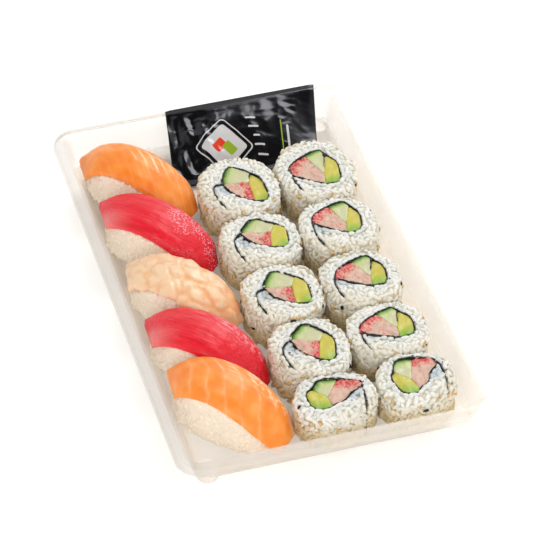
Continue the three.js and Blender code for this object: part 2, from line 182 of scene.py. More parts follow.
class SeedSettings(bpy.types.PropertyGroup):
    """The sesame seeds"""
    seed_length: length("Seed length", "Length of one sesame seed", 3.2, 0.5)
    seed_width: length("Seed width", "Width of one sesame seed", 1.9, 0.3)
    pale_per_roll: tally("Pale seeds", "Toasted pale seeds on each roll", 34)
    dark_per_roll: tally("Dark seeds", "Black seeds on each roll", 6)


class StageSettings(bpy.types.PropertyGroup):
    """The table and the camera"""
    azimuth: bearing("Azimuth", "Direction of view, from +Y towards +X", 16.6)
    elevation: bearing("Elevation", "How far the camera looks down", 41.7)
    distance: length("Distance", "From the camera to the point that it looks at", 1597)
    aim: bpy.props.FloatVectorProperty(
        name="Aim", description="The point that the camera looks at",
        default=(4.1 * MM, -3.4 * MM, 16.05 * MM), subtype="TRANSLATION",
    )
    lens: bpy.props.FloatProperty(name="Lens", description="Focal length in millimetres", default=210.8)
    paper: tint("Floor", "Plain pale table", "#FBFBFA")
    glow: portion("Glow", "Light that the table gives from below", 0.28)


class SushiSettings(bpy.types.PropertyGroup):
    """Every group of settings"""
    tray: bpy.props.PointerProperty(type=TraySettings)
    rice: bpy.props.PointerProperty(type=RiceSettings)
    filling: bpy.props.PointerProperty(type=FillingSettings)
    topping: bpy.props.PointerProperty(type=ToppingSettings)
    sachet: bpy.props.PointerProperty(type=SachetSettings)
    seed: bpy.props.PointerProperty(type=SeedSettings)
    stage: bpy.props.PointerProperty(type=StageSettings)


# ---------------------------------------------------------------- meshes as arrays


def to_mesh(name, points, faces):
    """A Blender mesh from points in millimetres."""
    mesh = bpy.data.meshes.new(name)
    if isinstance(faces, np.ndarray):
        faces = faces.tolist()
    mesh.from_pydata((np.asarray(points) * MM).tolist(), [], faces)
    mesh.polygons.foreach_set("use_smooth", [True] * len(mesh.polygons))
    return mesh


def add_piece(name, points, faces, material, replaced=(), values=None):
    """Adds a piece that rides on the tray, with its values at each point as attributes."""
    mesh = to_mesh(name, points, faces)
    mesh.materials.append(material)
    for key, array in (values or {}).items():
        kind = "FLOAT" if np.ndim(array) == 1 else "FLOAT_VECTOR"
        attribute = mesh.attributes.new(key, kind, "POINT")
        field = "value" if kind == "FLOAT" else "vector"
        attribute.data.foreach_set(field, np.asarray(array, np.float32).ravel())
    piece = bpy.data.objects.new(name, mesh)
    bpy.context.scene.collection.objects.link(piece)
    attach(piece, "root")
    if replaced:
        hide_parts(*replaced)
    return piece


def cad_solid(node):
    """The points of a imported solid, in millimetres, and its triangles."""
    solid = bmesh.new()
    solid.from_mesh(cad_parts[node].data)
    bmesh.ops.remove_doubles(solid, verts=solid.verts, dist=0.01 * MM)
    bmesh.ops.triangulate(solid, faces=solid.faces)
    points = np.array([vertex.co for vertex in solid.verts]) / MM
    triangles = np.array([[vertex.index for vertex in face.verts] for face in solid.faces])
    solid.free()
    return points, triangles


def middle_of(node):
    """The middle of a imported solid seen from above, in millimetres."""
    low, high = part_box(node)
    return np.array([(low.x + high.x) / 2, (low.y + high.y) / 2]) / MM


def fine_net(node, voxel, rounds):
    """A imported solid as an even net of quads, voxel millimetres wide, with its steps rounded off."""
    source = bpy.data.objects.new("source", to_mesh("source", *cad_solid(node)))
    bpy.context.scene.collection.objects.link(source)
    modifier = source.modifiers.new("net", "REMESH")
    modifier.mode = "VOXEL"
    modifier.voxel_size = voxel * MM
    depsgraph = bpy.context.evaluated_depsgraph_get()
    mesh = bpy.data.meshes.new_from_object(source.evaluated_get(depsgraph))
    bpy.data.objects.remove(source)
    net = np.empty(len(mesh.vertices) * 3)
    mesh.vertices.foreach_get("co", net)
    corners = np.empty(len(mesh.loops), int)
    mesh.loops.foreach_get("vertex_index", corners)
    bpy.data.meshes.remove(mesh)
    quads = corners.reshape(-1, 4)
    return smoothed(net.reshape(-1, 3) / MM, quads, rounds), quads


def smoothed(points, quads, rounds):
    """Rounds off steps and edges of a net without shrinking the shape."""
    links = np.unique(np.sort(np.vstack([quads[:, [i, (i + 1) % 4]] for i in range(4)]), axis=1), axis=0)
    one, other = links.T
    met = np.bincount(links.ravel(), minlength=len(points))[:, None]
    for _ in range(rounds):
        for step in (0.6, -0.62):
            total = [np.bincount(one, points[other, k], len(points))
                     + np.bincount(other, points[one, k], len(points)) for k in range(3)]
            points = points + step * (np.stack(total, axis=1) / met - points)
    return points


def normals_of(points, quads):
    """Unit normals at the points of a net of quads."""
    a, b, c, d = (points[quads[:, i]] for i in range(4))
    normals = np.zeros_like(points)
    for corner in range(4):
        np.add.at(normals, quads[:, corner], np.cross(c - a, d - b))
    return normals / np.maximum(np.linalg.norm(normals, axis=1, keepdims=True), 1e-9)


def ease(values, low, high):
    """0 below low and 1 above high, with a soft rise between."""
    share = np.clip((values - low) / (high - low), 0, 1)
    return share * share * (3 - 2 * share)


def lumps(points, size, seed=0.0):
    """Smooth noise from about -1 to 1; size is the width of its lumps in millimetres."""
    offset = Vector((seed * 17.3, seed * 5.1, seed * 9.7))
    return np.array([noise.noise(Vector(p) / size + offset) for p in points])


def cells(points):
    """Plump cells one unit wide: how far each point swells, and how close it is to a seam."""
    nearest = np.array([noise.voronoi(Vector(p))[0][:2] for p in points])
    return 1 - nearest[:, 0] ** 2, 1 - ease(nearest[:, 1] - nearest[:, 0], 0.02, 0.3)


def border_loops(faces):
    """The closed borders of a patch of triangles, as lists of point numbers."""
    edges = {}
    for a, b, c in faces:
        for start, end in ((a, b), (b, c), (c, a)):
            if (end, start) in edges:
                del edges[(end, start)]
            else:
                edges[(start, end)] = True
    onward = dict(edges.keys())
    loops = []
    while onward:
        start, here = onward.popitem()
        loop = [start]
        while here != start:
            loop.append(here)
            here = onward.pop(here)
        loops.append(loop)
    return loops


def flat_outline(node):
    """The outline of a solid's flat underside, anticlockwise from above."""
    points, faces = cad_solid(node)
    low = points[:, 2].min() + 0.02
    loops = border_loops(faces[(points[faces][:, :, 2] < low).all(axis=1)])
    outline = points[max(loops, key=len)][:, :2]
    x, y = outline.T
    turn = (x * np.roll(y, -1) - y * np.roll(x, -1)).sum()
    return outline if turn > 0 else outline[::-1]


def softened(path, closed, rounds=2):
    """Cuts the corners of a path, each time a little finer."""
    for _ in range(rounds):
        onward = np.roll(path, -1, axis=0) if closed else path[1:]
        here = path if closed else path[:-1]
        near, far = here * 0.75 + onward * 0.25, here * 0.25 + onward * 0.75
        cut = np.stack([near, far], axis=1).reshape(-1, path.shape[1])
        path = cut if closed else np.vstack([path[:1], cut, path[-1:]])
    return path


def evenly(path, step, closed):
    """Points along a path, step millimetres apart."""
    if closed:
        path = np.vstack([path, path[:1]])
    travelled = np.concatenate([[0], np.cumsum(np.linalg.norm(np.diff(path, axis=0), axis=1))])
    count = max(4, int(travelled[-1] / step))
    marks = np.linspace(0, travelled[-1], count, endpoint=not closed)
    return np.stack([np.interp(marks, travelled, path[:, k]) for k in range(path.shape[1])], axis=1)


def sideways(path, closed):
    """Unit vectors to the right of a flat path's direction, at each of its points."""
    if closed:
        along = np.roll(path, -1, axis=0) - np.roll(path, 1, axis=0)
    else:
        along = np.gradient(path, axis=0)
    along /= np.maximum(np.linalg.norm(along, axis=1, keepdims=True), 1e-9)
    return np.stack([along[:, 1], -along[:, 0]], axis=1)


def to_path(places, path, closed):
    """From each flat place: the distance to a path, and the path's direction there."""
    start = path if closed else path[:-1]
    end = np.roll(path, -1, axis=0) if closed else path[1:]
    span = end - start
    offset = places[:, None, :] - start[None]
    share = np.clip((offset * span).sum(axis=2) / np.maximum((span ** 2).sum(axis=1), 1e-9), 0, 1)
    apart = np.linalg.norm(offset - share[..., None] * span, axis=2)
    nearest = apart.argmin(axis=1)
    direction = span[nearest] / np.linalg.norm(span[nearest], axis=1, keepdims=True)
    return apart[np.arange(len(places)), nearest], direction


def distances(places, path):
    """From each place, the distance seen from above to the nearest point of a path."""
    tree = KDTree(len(path))
    for number, (x, y) in enumerate(path):
        tree.insert((x, y, 0), number)
    tree.balance()
    return np.array([tree.find((place[0], place[1], 0))[2] for place in places.tolist()])


def inside(places, outline):
    """Which flat places lie inside an outline."""
    x, y = places.T
    within = np.zeros(len(places), bool)
    for (ax, ay), (bx, by) in zip(outline, np.roll(outline, -1, axis=0)):
        crosses = (ay > y) != (by > y)
        within ^= crosses & (x < (bx - ax) * (y - ay) / np.where(by == ay, 1e-9, by - ay) + ax)
    return within


# ---------------------------------------------------------------- materials


def set_sockets(tree, node, sockets):
    """Links each input of a node to a socket or to another node's first output, or sets its value."""
    for key, value in sockets.items():
        if isinstance(value, bpy.types.Node):
            value = next(output for output in value.outputs if output.enabled)
        if isinstance(value, bpy.types.NodeSocket):
            tree.links.new(value, node.inputs[key])
        else:
            node.inputs[key].default_value = value


def add_node(tree, kind, sockets=None, stops=None, **settings):
    """Adds a shader node, links or sets its sockets, and places a ramp's colour stops."""
    node = tree.nodes.new("ShaderNode" + kind)
    for key, value in settings.items():
        setattr(node, key, value)
    set_sockets(tree, node, sockets or {})
    if stops:
        ramp = node.color_ramp.elements
        while len(ramp) < len(stops):
            ramp.new(1)
        for element, (place, colour) in zip(ramp, stops):
            element.position = place
            element.color = shade(colour)
    return node


def new_material(name, **surface):
    """A material with one Principled shader, and the values that are the same all over it."""
    material = bpy.data.materials.get(name) or bpy.data.materials.new(name)
    material.use_nodes = True
    tree = material.node_tree
    shader, output = tree.nodes["Principled BSDF"], tree.nodes["Material Output"]
    for node in [*tree.nodes]:
        if node not in (shader, output):
            tree.nodes.remove(node)
    set_sockets(tree, shader, {key.replace("_", " "): value for key, value in surface.items()})
    return material, tree, shader


def steamed_rice(settings):
    """Short-grain rice, steamed and dressed: soft, slightly see-through and sticky, so the grains
    run together. Light enters them. Painted shade, a little warm, darkens the creases between the
    grains and the rice low on the sides, and a cool painted shade lies in the dip beside the seaweed."""
    material, tree, shader = new_material(
        "steamed_rice", Roughness=0.38, Subsurface_Weight=0.15, Subsurface_Scale=1.0 * MM, IOR=1.4,
        Subsurface_Radius=(1.0, 0.92, 0.8), Specular_IOR_Level=0.4,
    )
    clear = add_node(tree, "Attribute", attribute_name="clear")
    colour = add_node(tree, "ValToRGB", {"Fac": clear.outputs["Fac"]},
                      stops=[(0.0, settings.white), (0.65, settings.white), (1.0, "#DFE0D8")])
    # Painted shade: cream low on the sides, cool grey in the dip by the seaweed and tan in the creases; the
    # nigiri get a warm tint all over.
    for attribute, layer in (("low", settings.low_shade), ("pocket", settings.pocket_shade),
                             ("pressed", settings.warm), ("crease", settings.crease)):
        part = add_node(tree, "Attribute", attribute_name=attribute)
        colour = add_node(tree, "Mix", {"Factor": part.outputs["Fac"], "A": colour, "B": shade(layer)},
                          data_type="RGBA")
    set_sockets(tree, shader, {"Base Color": colour})
    return material


def toasted_nori():
    """Nori: pressed and toasted seaweed, gone damp in the rice. Near black with a green cast, and
    leathery, so its torn edge shows as a dark line with small glints."""
    material, tree, shader = new_material("toasted_nori", Roughness=0.45, IOR=1.45)
    place = add_node(tree, "TexCoord")
    grain = add_node(tree, "TexNoise", {
        "Vector": place.outputs["Object"], "Scale": 1 / (1.4 * MM), "Detail": 3.0})
    colour = add_node(tree, "ValToRGB", {"Fac": grain}, stops=[(0.3, "#0B0D0A"), (0.75, "#20261B")])
    bump = add_node(tree, "Bump", {"Height": grain, "Strength": 0.5, "Distance": 0.3 * MM})
    set_sockets(tree, shader, {"Base Color": colour, "Normal": bump})
    return material


def uneven_depth(tree, grain, wander):
    """How deep under its skin a place of a cut face lies, as its colours wander in grains this wide."""
    depth = add_node(tree, "Attribute", attribute_name="depth")
    place = add_node(tree, "TexCoord")
    noisy = add_node(tree, "TexNoise", {
        "Vector": place.outputs["Object"], "Scale": 1 / (grain * MM), "Detail": 2.0})
    drift = add_node(tree, "Math", {0: noisy, 1: wander, 2: -wander / 2}, operation="MULTIPLY_ADD")
    return add_node(tree, "Math", {0: depth.outputs["Fac"], 1: drift}, operation="ADD")


def fresh_cucumber(settings):
    """Cucumber: a thin dark peel, a green rim under it and pale watery flesh. Cut wet, so it shines."""
    material, tree, shader = new_material(
        "fresh_cucumber", Roughness=0.28, Subsurface_Weight=0.2, Subsurface_Scale=1.5 * MM, IOR=1.36,
    )
    colour = add_node(tree, "ValToRGB", {"Fac": uneven_depth(tree, 1.6, 0.16)}, stops=[
        (0.0, "#1F3F0C"), (0.13, settings.skin), (0.26, "#86A64C"), (0.48, "#C2CA8E"), (1.0, settings.flesh),
    ])
    set_sockets(tree, shader, {"Base Color": colour})
    return material


def ripe_avocado(settings):
    """Avocado: buttery flesh, yellow next to the stone and green next to the peel. Waxy, with a
    soft sheen on the cut."""
    material, tree, shader = new_material(
        "ripe_avocado", Roughness=0.34, Subsurface_Weight=0.15, Subsurface_Scale=1.2 * MM, IOR=1.42,
    )
    colour = add_node(tree, "ValToRGB", {"Fac": uneven_depth(tree, 2.2, 0.22)}, stops=[
        (0.0, "#4F7C12"), (0.1, settings.green), (0.38, "#9FB63E"), (0.68, "#C5BF4A"), (1.0, settings.ripe),
    ])
    set_sockets(tree, shader, {"Base Color": colour})
    return material


def shredded_crab_stick(settings):
    """Crab stick: white fish paste in fine strands, dyed red on its outside. Moist, and flecked
    where the dyed strands are cut across."""
    material, tree, shader = new_material(
        "shredded_crab_stick", Roughness=0.38, Subsurface_Weight=0.3, Subsurface_Scale=1.5 * MM, IOR=1.4,
        Subsurface_Radius=(1.0, 0.5, 0.4),
    )
    depth = add_node(tree, "Attribute", attribute_name="depth")
    place = add_node(tree, "TexCoord")
    strand = add_node(tree, "TexVoronoi", {"Vector": place.outputs["Object"], "Scale": 1 / (1.1 * MM)},
                      feature="F1")
    blot = add_node(tree, "TexNoise", {
        "Vector": place.outputs["Object"], "Scale": 1 / (3.2 * MM), "Detail": 3.0})
    pull = add_node(tree, "Math", {0: depth.outputs["Fac"], 1: 0.5, 2: -0.25}, operation="MULTIPLY_ADD")
    dyed = add_node(tree, "Math", {0: blot, 1: pull}, operation="ADD")
    pink = add_node(tree, "ValToRGB", {"Fac": dyed},
                    stops=[(0.3, settings.crab), (0.46, "#DCA392"), (0.68, "#DB7F76")])
    fleck = add_node(tree, "Math", {0: strand, 1: dyed}, operation="MULTIPLY")
    spots = add_node(tree, "ValToRGB", {"Fac": fleck}, stops=[(0.3, 0.0), (0.41, 1.0)])
    colour = add_node(tree, "Mix", {
        "Factor": spots, "A": pink, "B": shade(settings.crab_red),
    }, data_type="RGBA")
    bump = add_node(tree, "Bump", {"Height": strand, "Strength": 0.4, "Distance": 0.4 * MM}, invert=True)
    set_sockets(tree, shader, {"Base Color": colour, "Normal": bump})
    return material


def painted_edge_highlight(tree, colour, highlight_tint):
    """A painted highlight in fine pale streaks along the back edge of a slice, drawn along its fibres."""
    place = add_node(tree, "Attribute", attribute_name="place")
    # About 22 mm long, 1.3 mm wide and 2 mm deep, and a little askew.
    drawn = add_node(tree, "Mapping", {
        "Vector": place.outputs["Vector"], "Rotation": (0, 0, 0.14), "Scale": (0.045, 0.75, 0.5)})
    strands = add_node(tree, "TexNoise", {"Vector": drawn, "Scale": 1.0, "Detail": 3.0})
    lines = add_node(tree, "ValToRGB", {"Fac": strands}, stops=[(0.5, 0.0), (0.64, 1.0)])
    edge = add_node(tree, "Attribute", attribute_name="edge")
    part = add_node(tree, "Math", {0: lines, 1: edge.outputs["Fac"]}, operation="MULTIPLY")
    return add_node(tree, "Mix", {"Factor": part, "A": colour, "B": shade(highlight_tint)}, data_type="RGBA")


def sliced_salmon(settings):
    """Raw salmon: soft orange flesh in blocks, with pale lines of fat between them that bend
    along the back edge. Wet, so it carries soft highlights, and the fat shines more. A painted
    highlight makes the fat lines paler where the slice turns over, and lies in fine pale streaks
    along the back edge."""
    material, tree, shader = new_material(
        "sliced_salmon", Subsurface_Weight=0.25, Subsurface_Scale=3 * MM, IOR=1.38,
        Subsurface_Radius=(1.0, 0.45, 0.25), Coat_Weight=0.15, Coat_Roughness=0.32,
    )
    fibre = add_node(tree, "Attribute", attribute_name="fibre")
    parts = add_node(tree, "SeparateXYZ", {0: fibre.outputs["Vector"]})
    place = add_node(tree, "TexCoord")
    drift, blot, fine = (
        add_node(tree, "TexNoise", {
            "Vector": place.outputs["Object"], "Scale": 1 / (width * MM), "Detail": detail})
        for width, detail in ((14, 2.0), (9, 3.0), (3, 4.0))
    )
    bent = add_node(tree, "Math", {0: drift, 1: 0.7, 2: parts.outputs["X"]}, operation="MULTIPLY_ADD")
    line = add_node(tree, "Math", {0: bent, 1: 0.5}, operation="PINGPONG")
    rough = add_node(tree, "Math", {0: fine, 1: 0.16, 2: line}, operation="MULTIPLY_ADD")
    lines = add_node(tree, "ValToRGB", {"Fac": rough}, stops=[(0.08, 1.0), (0.17, 0.25), (0.34, 0.0)])
    # The fat's strength, with the painted highlight where the slice turns over.
    fat = add_node(tree, "Math", {0: lines, 1: parts.outputs["Y"]}, operation="MULTIPLY", use_clamp=True)
    flesh = add_node(tree, "ValToRGB", {"Fac": blot},
                     stops=[(0.25, "#F57F1E"), (0.5, settings.salmon), (0.8, "#FBA95A")])
    colour = add_node(tree, "Mix", {"Factor": fat, "A": flesh, "B": shade(settings.fat)}, data_type="RGBA")
    wet = add_node(tree, "Math", {0: fat, 1: -0.3, 2: 0.42}, operation="MULTIPLY_ADD")
    bump = add_node(tree, "Bump", {"Height": fine, "Strength": 0.25, "Distance": 0.3 * MM})
    set_sockets(tree, shader, {
        "Base Color": painted_edge_highlight(tree, colour, settings.fat),
        "Roughness": wet, "Normal": bump,
    })
    return material


def sliced_tuna(settings):
    """Raw tuna: deep pink-red lean flesh with fine fibres along the slice. Damp, with a painted
    glitter of small pale points over part of its top and a painted highlight in pale streaks along its
    back edge."""
    material, tree, shader = new_material(
        "sliced_tuna", Roughness=0.4, Subsurface_Weight=0.25, Subsurface_Scale=2.5 * MM, IOR=1.38,
        Subsurface_Radius=(1.0, 0.3, 0.25), Coat_Weight=0.15, Coat_Roughness=0.3,
    )
    fibre = add_node(tree, "Attribute", attribute_name="fibre")
    # Fibres about 20 mm long and 1.1 mm thick.
    drawn = add_node(tree, "Mapping", {"Vector": fibre.outputs["Vector"], "Scale": (0.05, 0.9, 0.9)})
    strands = add_node(tree, "TexNoise", {"Vector": drawn, "Scale": 1.0, "Detail": 4.0, "Roughness": 0.6})
    flesh = add_node(tree, "ValToRGB", {"Fac": strands},
                     stops=[(0.3, "#D20F24"), (0.5, settings.tuna), (0.75, "#F03443")])
    # Painted glitter: pale points 0.85 mm wide and twice as long. The real glints are finer and would not
    # show.
    wide = add_node(tree, "Mapping", {"Vector": fibre.outputs["Vector"], "Scale": (0.5, 1, 1)})
    glitter = add_node(tree, "TexVoronoi", {"Vector": wide, "Scale": 1 / 0.85}, feature="F1")
    spot = add_node(tree, "Math", {0: 0.5, 1: glitter}, operation="SUBTRACT")
    # Painted glitter where the slice gets it.
    painted_glitter = add_node(tree, "Attribute", attribute_name="painted_glitter")
    bright = add_node(tree, "Math", {0: spot, 1: painted_glitter.outputs["Fac"]}, operation="MULTIPLY")
    mask = add_node(tree, "ValToRGB", {"Fac": bright}, stops=[(0.04, 0.0), (0.22, 0.85)])
    colour = add_node(tree, "Mix", {"Factor": mask, "A": flesh, "B": shade("#FBC3D2")}, data_type="RGBA")
    pale = add_node(tree, "Attribute", attribute_name="pale")
    end = add_node(tree, "Mix", {
        "Factor": pale.outputs["Fac"], "A": colour, "B": shade("#F4A8A0")}, data_type="RGBA")
    torn = add_node(tree, "Math", {0: bright, 1: 1.5, 2: strands}, operation="MULTIPLY_ADD")
    bump = add_node(tree, "Bump", {"Height": torn, "Strength": 0.5, "Distance": 0.4 * MM})
    set_sockets(tree, shader, {"Base Color": painted_edge_highlight(tree, end, "#FCB3B6"), "Normal": bump})
    return material


def cooked_prawn(settings):
    """Boiled prawn, opened flat: white firm flesh with peach bands where the shell's segments met.
    Moist and plump, so it shines on the lumps."""
    material, tree, shader = new_material(
        "cooked_prawn", Roughness=0.34, Subsurface_Weight=0.35, Subsurface_Scale=2.5 * MM, IOR=1.38,
        Subsurface_Radius=(1.0, 0.6, 0.4), Coat_Weight=0.2, Coat_Roughness=0.15,
    )
    band = add_node(tree, "Attribute", attribute_name="band")
    place = add_node(tree, "TexCoord")
    blot = add_node(tree, "TexNoise", {
        "Vector": place.outputs["Object"], "Scale": 1 / (4 * MM), "Detail": 4.0})
    mixed = add_node(tree, "Math", {0: blot, 1: 0.9, 2: band.outputs["Fac"]}, operation="MULTIPLY_ADD")
    colour = add_node(tree, "ValToRGB", {"Fac": mixed}, stops=[
        (0.38, settings.prawn), (0.62, "#F0BE90"), (0.86, settings.prawn_band), (1.0, "#E8965F"),
    ])
    bump = add_node(tree, "Bump", {"Height": blot, "Strength": 0.3, "Distance": 0.5 * MM})
    set_sockets(tree, shader, {"Base Color": colour, "Normal": bump})
    return material


def formed_pp_sheet(settings):
    """Polypropylene sheet, heated and drawn over a mould: milky clear, and whiter where it is seen
    edge on or through two layers. Glossy where the mould was polished. Lamps shine through it. The
    left wall is tinted darker as painted shade."""
    material, tree, shader = new_material(
        "formed_pp_sheet", Roughness=0.18, IOR=1.49, Coat_Weight=0.4, Coat_Roughness=0.06,
    )
    # Painted shade: the left wall keeps the darker wall tint, the rest of the sheet the floor's.
    level = add_node(tree, "Attribute", attribute_name="level")
    colour = add_node(tree, "Mix", {
        "Factor": level.outputs["Fac"], "A": shade(settings.left_wall_shade), "B": shade(settings.floor),
    }, data_type="RGBA")
    haze = add_node(tree, "Attribute", attribute_name="haze")
    slant = add_node(tree, "LayerWeight", {"Blend": 0.5})
    longer = add_node(tree, "Math", {0: slant.outputs["Facing"], 1: 1.1, 2: 0.6}, operation="MULTIPLY_ADD")
    hidden = add_node(tree, "Math", {0: haze.outputs["Fac"], 1: longer}, operation="MULTIPLY",
                      use_clamp=True)
    set_sockets(tree, shader, {"Base Color": colour, "Alpha": hidden})
    path = add_node(tree, "LightPath")
    through = add_node(tree, "BsdfTransparent", {"Color": shade("#FAFAF9")})
    both = add_node(tree, "MixShader", {0: path.outputs["Is Shadow Ray"], 1: shader, 2: through})
    set_sockets(tree, tree.nodes["Material Output"], {"Surface": both})
    return material


# Printed shapes, each over the ones before it: middle, turn, half sizes and the radius of the
# rounded corners, in millimetres from the film's upper left corner, and the ink.
BADGE, BADGE_TURN, BAR_TURN = (31.5, -27.0), math.radians(35), math.radians(-10)
PRINTED_SHAPES = (
    (BADGE, BADGE_TURN, (11.2, 11.2), 2.5, "ink"),
    (BADGE, BADGE_TURN, (10.6, 10.6), 2.2, "film"),
    (BADGE, BADGE_TURN, (8.8, 8.8), 1.8, "ink"),
    ((29.2, -26.0), BADGE_TURN, (3.4, 2.6), 0.8, "red"),
    ((34.0, -28.4), BADGE_TURN, (2.6, 3.4), 0.8, "olive"),
    ((49.0, -14.5), BAR_TURN, (2.7, 0.5), 0.4, "ink"),
    ((49.3, -19.5), BAR_TURN, (2.7, 0.5), 0.4, "ink"),
    ((49.7, -24.5), BAR_TURN, (1.7, 0.5), 0.4, "ink"),
    ((50.0, -29.5), BAR_TURN, (2.7, 0.5), 0.4, "ink"),
    ((50.4, -34.5), BAR_TURN, (2.7, 0.5), 0.4, "ink"),
    ((62.8, -27.0), BAR_TURN, (0.3, 9.0), 0.2, "olive"),
    ((66.0, -28.0), BAR_TURN, (0.6, 7.0), 0.4, "ink"),
)
# Half the width over which a printed edge fades, in millimetres.
INK_FADE = 0.08


def printed_shape(tree, place, middle, turn, half, corner):
    """Where one rounded rectangle is printed: 1 inside it and 0 outside."""
    local = add_node(tree, "Mapping", {"Vector": place, "Location": (*middle, 0), "Rotation": (0, 0, turn)},
                     vector_type="TEXTURE")
    size = add_node(tree, "VectorMath", {0: local}, operation="ABSOLUTE")
    over = add_node(tree, "VectorMath", {0: size, 1: (half[0] - corner, half[1] - corner, 0)},
                    operation="SUBTRACT")
    past = add_node(tree, "VectorMath", {0: over, 1: (0, 0, 0)}, operation="MAXIMUM")
    flat = add_node(tree, "VectorMath", {0: past, 1: (1, 1, 0)}, operation="MULTIPLY")
    reach = add_node(tree, "VectorMath", {0: flat}, operation="LENGTH")
    return add_node(tree, "MapRange", {
        "Value": reach, "From Min": corner + INK_FADE, "From Max": corner - INK_FADE})


def black_laminate_film(settings):
    """Laminated film, printed black inside a glossy outer layer and heat sealed. Its creases
    catch the light as sharp grey patches, and the print lies under the gloss."""
    material, tree, shader = new_material(
        "black_laminate_film", Roughness=0.17, IOR=1.45, Specular_IOR_Level=0.6,
        Specular_Tint=(0.88, 0.9, 1.0, 1.0),
    )
    place = add_node(tree, "Attribute", attribute_name="print")
    colour = shade(settings.film)
    for *shape, ink in PRINTED_SHAPES:
        mask = printed_shape(tree, place.outputs["Vector"], *shape)
        colour = add_node(tree, "Mix", {"Factor": mask, "A": colour, "B": shade(getattr(settings, ink))},
                          data_type="RGBA")
    set_sockets(tree, shader, {"Base Color": colour})
    return material


def sesame(name, code, dark):
    """Sesame seed: a smooth dry drop, toasted. Matt, and blotched a little darker."""
    material, tree, shader = new_material(name, Roughness=0.5, IOR=1.45)
    place = add_node(tree, "TexCoord")
    blot = add_node(tree, "TexNoise", {
        "Vector": place.outputs["Object"], "Scale": 1 / (1.5 * MM), "Detail": 2.0})
    colour = add_node(tree, "ValToRGB", {"Fac": blot}, stops=[(0.3, dark), (0.7, code)])
    set_sockets(tree, shader, {"Base Color": colour})
    return material


def light_table(settings):
    """A sheet of opal acrylic lit from below, under the whole scene: matt white, with almost no
    shadow on it, and it sends a little light up through the clear tray."""
    material, tree, shader = new_material(
        "light_table", Base_Color=shade(settings.paper), Roughness=0.9, Emission_Color=shade(settings.paper),
        Emission_Strength=settings.glow,
    )
    place = add_node(tree, "TexCoord")
    tooth = add_node(tree, "TexNoise", {"Vector": place.outputs["Object"], "Scale": 1 / (2 * MM)})
    bump = add_node(tree, "Bump", {"Height": tooth, "Strength": 0.05, "Distance": 0.05 * MM})
    set_sockets(tree, shader, {"Normal": bump})
    return material


# ---------------------------------------------------------------- tray

# All sizes are in millimetres. The sheet's upper face from the floor out to the lip: distance in
# from the tray's edge, and height.
RIM = [(10.7, 6.7), (10.5, 6.75), (10.2, 7.6), (6.6, 23.2), (1.8, 22.1), (0.4, 21.2), (0.0, 18.4)]
LIP_RADIUS, RIDGE_RADIUS, FLOOR_RADIUS = 13.0, 5.5, 4.0
RIDGE_INSET, FLOOR_INSET = 6.5, 10.5
# The inside of the wall, likewise, and the gaps that the food keeps to the wall and the floor.
WALL_FOOT, WALL_TOP = (10.5, 6.7), (6.5, 23.2)
WALL_GAP, FLOOR_GAP = 0.25, 0.1
CORNER_STEPS = 12
# Whatever lies further in than this belongs to the floor.
FLOOR_EDGE = RIM[1][0] - 0.1
# A foot: its middle in from the tray's edges, and its radius under the floor and at its bottom.
FOOT_INSET, FOOT_TOP, FOOT_BOTTOM, FOOT_SIDES = 17.1, 6.1, 4.9, 32
# From which x to which the walls turn from the painted shade of the left wall towards the floor's tint, and
# how far.
WALL_SHADE_FADE = (-76, -58), (0, 1)


def rounded_ring(inset, z):
    """A rounded rectangle this far in from the tray's edge, anticlockwise from above."""
    radius = np.interp(inset, [0, RIDGE_INSET, FLOOR_INSET], [LIP_RADIUS, RIDGE_RADIUS, FLOOR_RADIUS])
    ring = []
    for corner, (side_x, side_y) in enumerate(((1, 1), (-1, 1), (-1, -1), (1, -1))):
        for step in range(CORNER_STEPS + 1):
            angle = (corner + step / CORNER_STEPS) * math.pi / 2
            ring.append((
                side_x * (HALF_X - inset - radius) + radius * math.cos(angle),
                side_y * (HALF_Y - inset - radius) + radius * math.sin(angle),
                z,
            ))
    return ring


